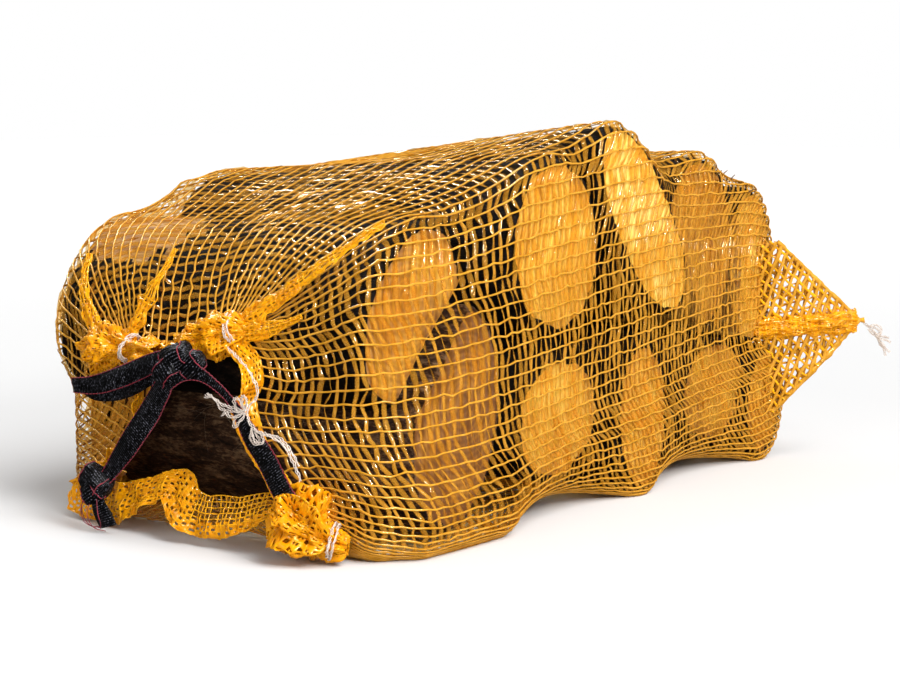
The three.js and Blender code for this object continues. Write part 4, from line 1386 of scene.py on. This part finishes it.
def crushed_bundle(name, spine, radii, folds, seed, depth):
    """A crushed tube of film along a spine, with sharp deep folds; radii are given along the spine."""
    line = smooth_line(spine, BUNDLE_STEP)
    radius = each_along(radii, len(line))
    up = squared((0.1, 0.2, 1), line)
    side = np.cross(tangents(line), up)
    angle = np.linspace(0, 2 * math.pi, BUNDLE_SIDES + 1)
    points = np.empty((len(line), BUNDLE_SIDES + 1, 3))
    for step in range(len(line)):
        for turn in range(BUNDLE_SIDES + 1):
            a = angle[turn % BUNDLE_SIDES]
            wander = noise.noise(Vector((math.cos(a), math.sin(a), step * 0.07 + seed)))
            crease = noise.noise(Vector((math.cos(a) * 2.2, math.sin(a) * 2.2, step * 0.16 + 3 * seed)))
            crumple = abs(noise.noise(Vector((math.cos(a) * 4, math.sin(a) * 4, step * 0.3 + 7 * seed))))
            swing = abs(math.sin(folds * a / 2 + FOLD_WANDER * wander + FOLD_TWIST * step))
            fold = depth * (1 - 2 * swing)
            fold += CREASE * crease + CRUMPLE * (0.3 - crumple)
            out = radius[step] * (1 + fold)
            points[step, turn] = line[step] + out * (math.cos(a) * up[step] + math.sin(a) * side[step])
    points[:, :, 2] = np.maximum(points[:, :, 2], FLOOR_GAP)
    return woven_sheet(name, points, np.zeros(len(line)), False, BUNDLE_HOLES, 2, 3, BUNDLE_STRAND)


def pleat(name, route, widths, seed):
    """A gathered fold of net: a ridged strip that runs from a bundle out over the taut net."""
    line = held_out(smooth_line(route, PLEAT_STEP), PLEAT_STANDOFF)
    for _ in range(PLEAT_EVENING):
        line[1:-1] = (2 * line[1:-1] + line[2:] + line[:-2]) / 4
    outward = squared(outward_from_fill(line), line)
    side = np.cross(tangents(line), outward)
    width = each_along(widths, len(line))
    across = np.linspace(-0.5, 0.5, PLEAT_ACROSS)
    points = np.empty((len(line), PLEAT_ACROSS, 3))
    for step in range(len(line)):
        for place, share in enumerate(across):
            wander = noise.noise(Vector((step * 0.08, share * 3, seed)))
            ragged = 1 + 0.6 * noise.noise(Vector((step * 0.22, math.copysign(4, share), 3 * seed)))
            ridge = 0.5 - abs(math.sin(7 * share + 3 * wander))
            arch = 1 - 4 * share * share
            height = PLEAT_ARCH * width[step] * arch + PLEAT_RIDGE * ridge
            points[step, place] = (line[step] + side[step] * width[step] * ragged * (share + 0.2 * wander)
                                   + outward[step] * height)
    points[:, :, 2] = np.maximum(points[:, :, 2], FLOOR_GAP)
    bare = np.where(np.arange(len(line)) < PLEAT_FILM * len(line), 0, PLEAT_ACROSS)
    return woven_sheet(name, points, bare, False, PLEAT_HOLES, 3, 2, BUNDLE_STRAND)


# %% Tied bundles and pleats
BUNDLES = [
    ("top_front", [(-232, 8, 110), (-231, -2, 113), (-229, -14, 118), (-226, -26, 121), (-223, -36, 123)],
     [6, 10, 8.5, 11, 9, 4.5], 5, 1, 0.3),
    ("top_back", [(-221, 97, 101), (-223, 86, 103), (-224, 66, 104), (-227, 40, 104), (-231, 26, 105)],
     [5, 12, 11, 8, 5.5, 9, 6], 4, 2, 0.3),
    ("foot", [(-238, -73, 31), (-236, -82, 26), (-234, -92, 18), (-230, -104, 12), (-226, -112, 10)],
     [9, 15, 17, 14, 7, 5], 5, 3, 0.36),
]
PLEATS = [
    ("top_front", [(-224, -28, 122), (-219, -52, 138), (-211, -82, 160), (-194, -112, 184)],
     [15, 12, 10, 8, 6, 3], 1.7),
    ("top_front_low", [(-226, -34, 119), (-224, -54, 124), (-220, -74, 132)], [13, 10, 6, 2], 4.1),
    ("top_back", [(-223, 64, 106), (-218, 54, 124), (-212, 46, 144), (-202, 40, 162)],
     [16, 14, 10, 6, 2], 2.9),
    ("back_corner", [(-221, 82, 106), (-218, 96, 118), (-213, 108, 138), (-204, 112, 156)],
     [13, 10, 7, 3], 6.3),
]
bundles = [crushed_bundle(f"net_bundle_{where}", *shape) for where, *shape in BUNDLES]
pleats = [pleat(f"net_pleat_{where}", *shape) for where, *shape in PLEATS]
print("bundles", [len(piece.data.polygons) for piece in bundles], "pleats", len(pleats))


# %% [markdown]
# White thread is wound round each bundle where it was tied. The windings are loose rings that lie on the
# folds, a few of them side by side.

# %% Thread windings on the bundles
WINDING_TURNS = 2
WINDING_PITCH = 1.6
WINDING_LAP = 2.2 * math.pi
WINDING_POINTS = 22
WINDINGS = [
    ("top_front", (-225, -29, 122), (3, -12, 3), 9.0),
    ("top_back", (-226, 52, 104), (-5, -26, 1), 8.5),
    ("foot", (-229, -105, 12.5), (6, -10, -4), 9.5),
]


def windings(name, centre, axis, radius):
    """Loose rings of sewing thread round a bundle."""
    axis = unit(np.asarray(axis, float))
    up = unit(np.cross(axis, (0.3, 0.1, 1.0)))
    side = np.cross(axis, up)
    routes = []
    for turn in range(WINDING_TURNS):
        middle = np.asarray(centre, float) + axis * (turn - WINDING_TURNS / 2) * WINDING_PITCH
        angle = np.linspace(0, WINDING_LAP, WINDING_POINTS) + turn
        size = radius * (1 + 0.12 * np.sin(3 * angle + turn))[:, None]
        tilt = axis * (1.2 * np.sin(angle + turn))[:, None]
        routes.append(middle + size * (np.cos(angle)[:, None] * up + np.sin(angle)[:, None] * side) + tilt)
    return thread_piece(name, routes)


for where, centre, axis, radius in WINDINGS:
    windings(f"bundle_thread_{where}", centre, axis, radius)
print("windings on", len(WINDINGS), "bundles")


# %% [markdown]
# At the sewn end the bag is a flat seam, and its two corners stand out as flat ears. An ear is two layers of
# net, each hatched with strands one way and with tapes another way, inside one outline. A rolled seam runs
# down the middle from the bag to the tip.

# %% Corner ears
EAR_ROOT = np.array([188.0, 114.0, 90.0])
EAR_TIP = np.array([244.0, 166.0, 95.0])
EAR_SHOULDER = 0.25
EAR_TIP_HALF = 3
EAR_LAYER = 2.6
EAR_SWAY, EAR_WAVES = 3.0, 6
EAR_POINTS = 16
EAR_LOOSE = 0.5
EAR_EDGE, EAR_EDGE_STEP = 1.4, 3.0
EAR_STRAND = 1.4
EAR_TAPE = 2.0
EAR_FLATNESS = 0.6
EAR_STRAND_LAYERS = [(1, -44, 5.4), (-1, 8, 5.8)]
EAR_TAPE_LAYERS = [(1, 68, 5.4), (-1, 84, 5.8)]
EAR_SEAM_SHARES = (-0.1, 0.3, 0.65, 1.0)
EAR_SEAM_RADII = [4, 6.5, 7, 7, 6.5]
SEAM_FOLD = 0.14
UPWARD = np.array([0, 0, 1.0])


def ear_outline():
    """Corners of an ear in its own plane: distance out from the bag, and height over the seam."""
    reach = np.linalg.norm(EAR_TIP - EAR_ROOT)
    shoulder = EAR_SHOULDER * reach
    return np.array([
        (0, -EAR_HALF), (shoulder, -EAR_HALF), (reach, -EAR_TIP_HALF),
        (reach, EAR_TIP_HALF), (shoulder, EAR_HALF), (0, EAR_HALF),
    ])


def hatching(corners, angle, pitch):
    """Parallel lines at an angle across a convex outline, as pairs of end points."""
    along = np.array([math.cos(math.radians(angle)), math.sin(math.radians(angle))])
    across = np.array([-along[1], along[0]])
    levels = corners @ across
    spans = []
    for level in np.arange(levels.min() + pitch / 2, levels.max(), pitch):
        crossed = []
        for (first, second) in zip(corners, np.roll(corners, -1, axis=0)):
            low, high = first @ across - level, second @ across - level
            if low * high < 0:
                crossed.append(first + (second - first) * low / (low - high))
        if len(crossed) == 2:
            spans.append(crossed)
    return spans


def ear_strands(name, side, layers, width, material):
    """Strands on the layers of an ear, each layer given as (offset, angle, pitch), and one round its edge."""
    sign = np.array([1.0, side, 1.0])
    root, tip = EAR_ROOT * sign, EAR_TIP * sign
    reach = np.linalg.norm(tip - root)
    out = (tip - root) / reach
    across = np.cross(out, UPWARD)
    share = np.linspace(0, 1, EAR_POINTS)[:, None]
    flat = []
    for layer, angle, pitch in layers:
        for first, second in hatching(ear_outline(), angle, pitch):
            loose = chance.normal(0, EAR_LOOSE, (EAR_POINTS, 2))
            flat.append((layer, first + (second - first) * share + loose))
    flat.append((0, smooth_line(np.column_stack([ear_outline()[1:5], np.zeros(4)]), EAR_EDGE_STEP)))
    lines = []
    for layer, place in flat:
        off, up = place[:, :1], place[:, 1:2]
        sway = EAR_SWAY * np.sin(off / reach * EAR_WAVES) * up / EAR_HALF
        bulge = layer * EAR_LAYER * (1 - off / reach) + sway
        lines.append(root + off * out + up * UPWARD + bulge * across)
    facings = [squared(across, line) for line in lines]
    spreads = [chance.normal(1, 0.2, len(line)).clip(0.5, 1.6) for line in lines]
    spreads[-1] = spreads[-1] * EAR_EDGE
    return swept_mesh(name, lines, facings, width, material, EAR_FLATNESS * width, spreads)


for side, where in ((-1, "front"), (1, "back")):
    twine = ear_strands(f"ear_{where}_strands", side, EAR_STRAND_LAYERS, EAR_STRAND, BUNCHED)
    film = ear_strands(f"ear_{where}_tapes", side, EAR_TAPE_LAYERS, EAR_TAPE, TWINE)
    ear = new_piece(f"net_ear_{where}_strands", twine)
    new_piece(f"net_ear_{where}_tapes", film)
    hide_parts(f"corner_ear_{where}")
    sign = np.array([1.0, side, 1.0])
    spine = [EAR_ROOT * sign + (EAR_TIP - EAR_ROOT) * sign * share for share in EAR_SEAM_SHARES]
    crushed_bundle(f"net_ear_{where}_seam", spine, EAR_SEAM_RADII, 5, 5 + side, SEAM_FOLD)
    print("ear", where, len(twine.polygons) + len(film.polygons), "faces")


# %% [markdown]
# The seam runs on across the sewn end, from ear to ear, as a roll of the same net. Behind the mouth the net
# is slack: it is folded back on itself, so a second layer shows through the first. That layer follows the
# net's own grid, a little further in.

# %% End seam and slack net
END_SEAM = [(204, -113, 93), (214, -86, 95), (217, -30, 95), (217, 30, 95), (214, 86, 95), (204, 113, 93)]
END_SEAM_RADII = [5.5, 4.5, 4.5, 4.5, 5.5]
SLACK_DEPTH = 9
SLACK_TAPE = 4.0
SLACK_SWAY = 0.6
SLACK_ROWS, SLACK_COLUMNS = slice(1, 20), slice(31, 57)
crushed_bundle("net_end_seam", END_SEAM, END_SEAM_RADII, 4, 8, SEAM_FOLD)
within = normal_grid[SLACK_ROWS, SLACK_COLUMNS]
fold = grid[SLACK_ROWS, SLACK_COLUMNS] - SLACK_DEPTH * within
fold = fold + chance.normal(0, SLACK_SWAY, fold.shape)
rows, columns = fold.shape[:2]
fold_lines = [*fold, *fold.transpose(1, 0, 2)]
fold_facings = [*within, *within.transpose(1, 0, 2)]
fold_spreads = [np.full(columns, SLACK_TAPE)] * rows + [np.full(rows, TWINE_WIDTH)] * columns
mesh = swept_mesh("slack_fold", fold_lines, fold_facings, 1.0, TWINE, TAPE_THICKNESS, fold_spreads)
slack = new_piece("net_slack_fold", mesh)
print("slack fold", len(slack.data.polygons), "faces")


# %% [markdown]
# The stage is a white floor that runs out of sight under a white sky, so that only a soft shadow says
# where the net lies. A broad sun from the front gives that shadow, and two softboxes light the front and the
# mouth. Two more boxes show only in reflections: they put the glints on the tapes. The sky is dim in
# reflections and the floor isn't seen in them, because a white gloss would wash out the amber film. The
# floor's colour holds painted light: greyer near the net, where the lamps shine brightest, and paler far off,
# where their light falls away.

# %% Floor and sky
FLOOR_SIZE = 12.0
SKY_SEEN = 1.0
SKY_LIGHT = 0.44
SKY_MIRRORED = 0.14


def matt_floor(tree):
    """Matt white paper, painted greyer near the net, where the lamps shine brightest, and paler far off,
    where their light falls away, so that it looks evenly white and the soft shadow shows.
    """
    place = add(tree, "ShaderNodeTexCoord").outputs["Object"]
    far = add(tree, "ShaderNodeVectorMath", {0: place}, operation="LENGTH").outputs["Value"]
    share = add(tree, "ShaderNodeMapRange", {"Value": far, "From Min": 0.5, "From Max": 2.2})
    # Painted light: the floor is darker near the net, where the lamps are strongest, and paler far off, where
    # their light falls away.
    colour = add(tree, "ShaderNodeValToRGB", {"Fac": share.outputs["Result"]},
                 steps=[(0.0, "#dcdcdc"), (1.0, "#fdfdfd")])
    return add(tree, "ShaderNodeBsdfPrincipled", {"Base Color": colour.outputs["Color"], "Roughness": 0.9})


floor_mesh = bpy.data.meshes.new("studio_floor")
half = FLOOR_SIZE / 2
corners = [(-half, -half, 0), (half, -half, 0), (half, half, 0), (-half, half, 0)]
floor_mesh.from_pydata(corners, [], [(0, 1, 2, 3)])
floor_mesh.materials.append(new_material("matt_white_paper", matt_floor))
floor = placed("studio_floor", floor_mesh)
floor.visible_glossy = False

world = bpy.data.worlds.new("white_studio")
world.use_nodes = True
sky = world.node_tree
ray = add(sky, "ShaderNodeLightPath").outputs
lit = add(sky, "ShaderNodeMapRange",
          {"Value": ray["Is Glossy Ray"], "To Min": SKY_LIGHT, "To Max": SKY_MIRRORED})
bright = add(sky, "ShaderNodeMapRange",
             {"Value": ray["Is Camera Ray"], "To Min": lit.outputs["Result"], "To Max": SKY_SEEN})
sky.links.new(bright.outputs["Result"], sky.nodes["Background"].inputs["Strength"])
sky.nodes["Background"].inputs["Color"].default_value = (1, 1, 1, 1)
bpy.context.scene.world = world
print("floor", FLOOR_SIZE, "m under a sky of strength", SKY_LIGHT)


# %% Lights
LAMPS = [
    ("broad_sun", "SUN", (-0.05, -1.35, 1.9), (0, 0, 0.1), 2.85, 40, "visible_glossy"),
    ("softbox", "AREA", (-0.6, -1.6, 1.0), (-0.05, -0.05, 0.1), 18, 0.4, None),
    ("side_softbox", "AREA", (-1.5, -0.35, 0.55), (-0.2, 0, 0.08), 2.2, 0.35, None),
    ("glint_softbox", "AREA", (-0.7, -1.6, 1.1), (-0.05, -0.05, 0.1), 100, 0.6, "visible_diffuse"),
    ("top_glint_softbox", "AREA", (0.0, 0.7, 1.3), (-0.1, 0, 0.15), 40, 0.5, "visible_diffuse"),
]
for name, kind, place, aim, energy, size, left_out in LAMPS:
    light = bpy.data.lights.new(name, kind)
    light.energy = energy
    if kind == "SUN":
        light.angle = math.radians(size)
    else:
        light.size = size
    stand = (Vector(aim) - Vector(place)).to_track_quat("-Z", "Y").to_matrix().to_4x4()
    stand.translation = Vector(place)
    lamp = placed(name, light)
    lamp.matrix_world = stand
    if left_out:
        setattr(lamp, left_out, False)
bpy.context.scene.view_settings.view_transform = "Standard"
print("lights", [lamp[0] for lamp in LAMPS])
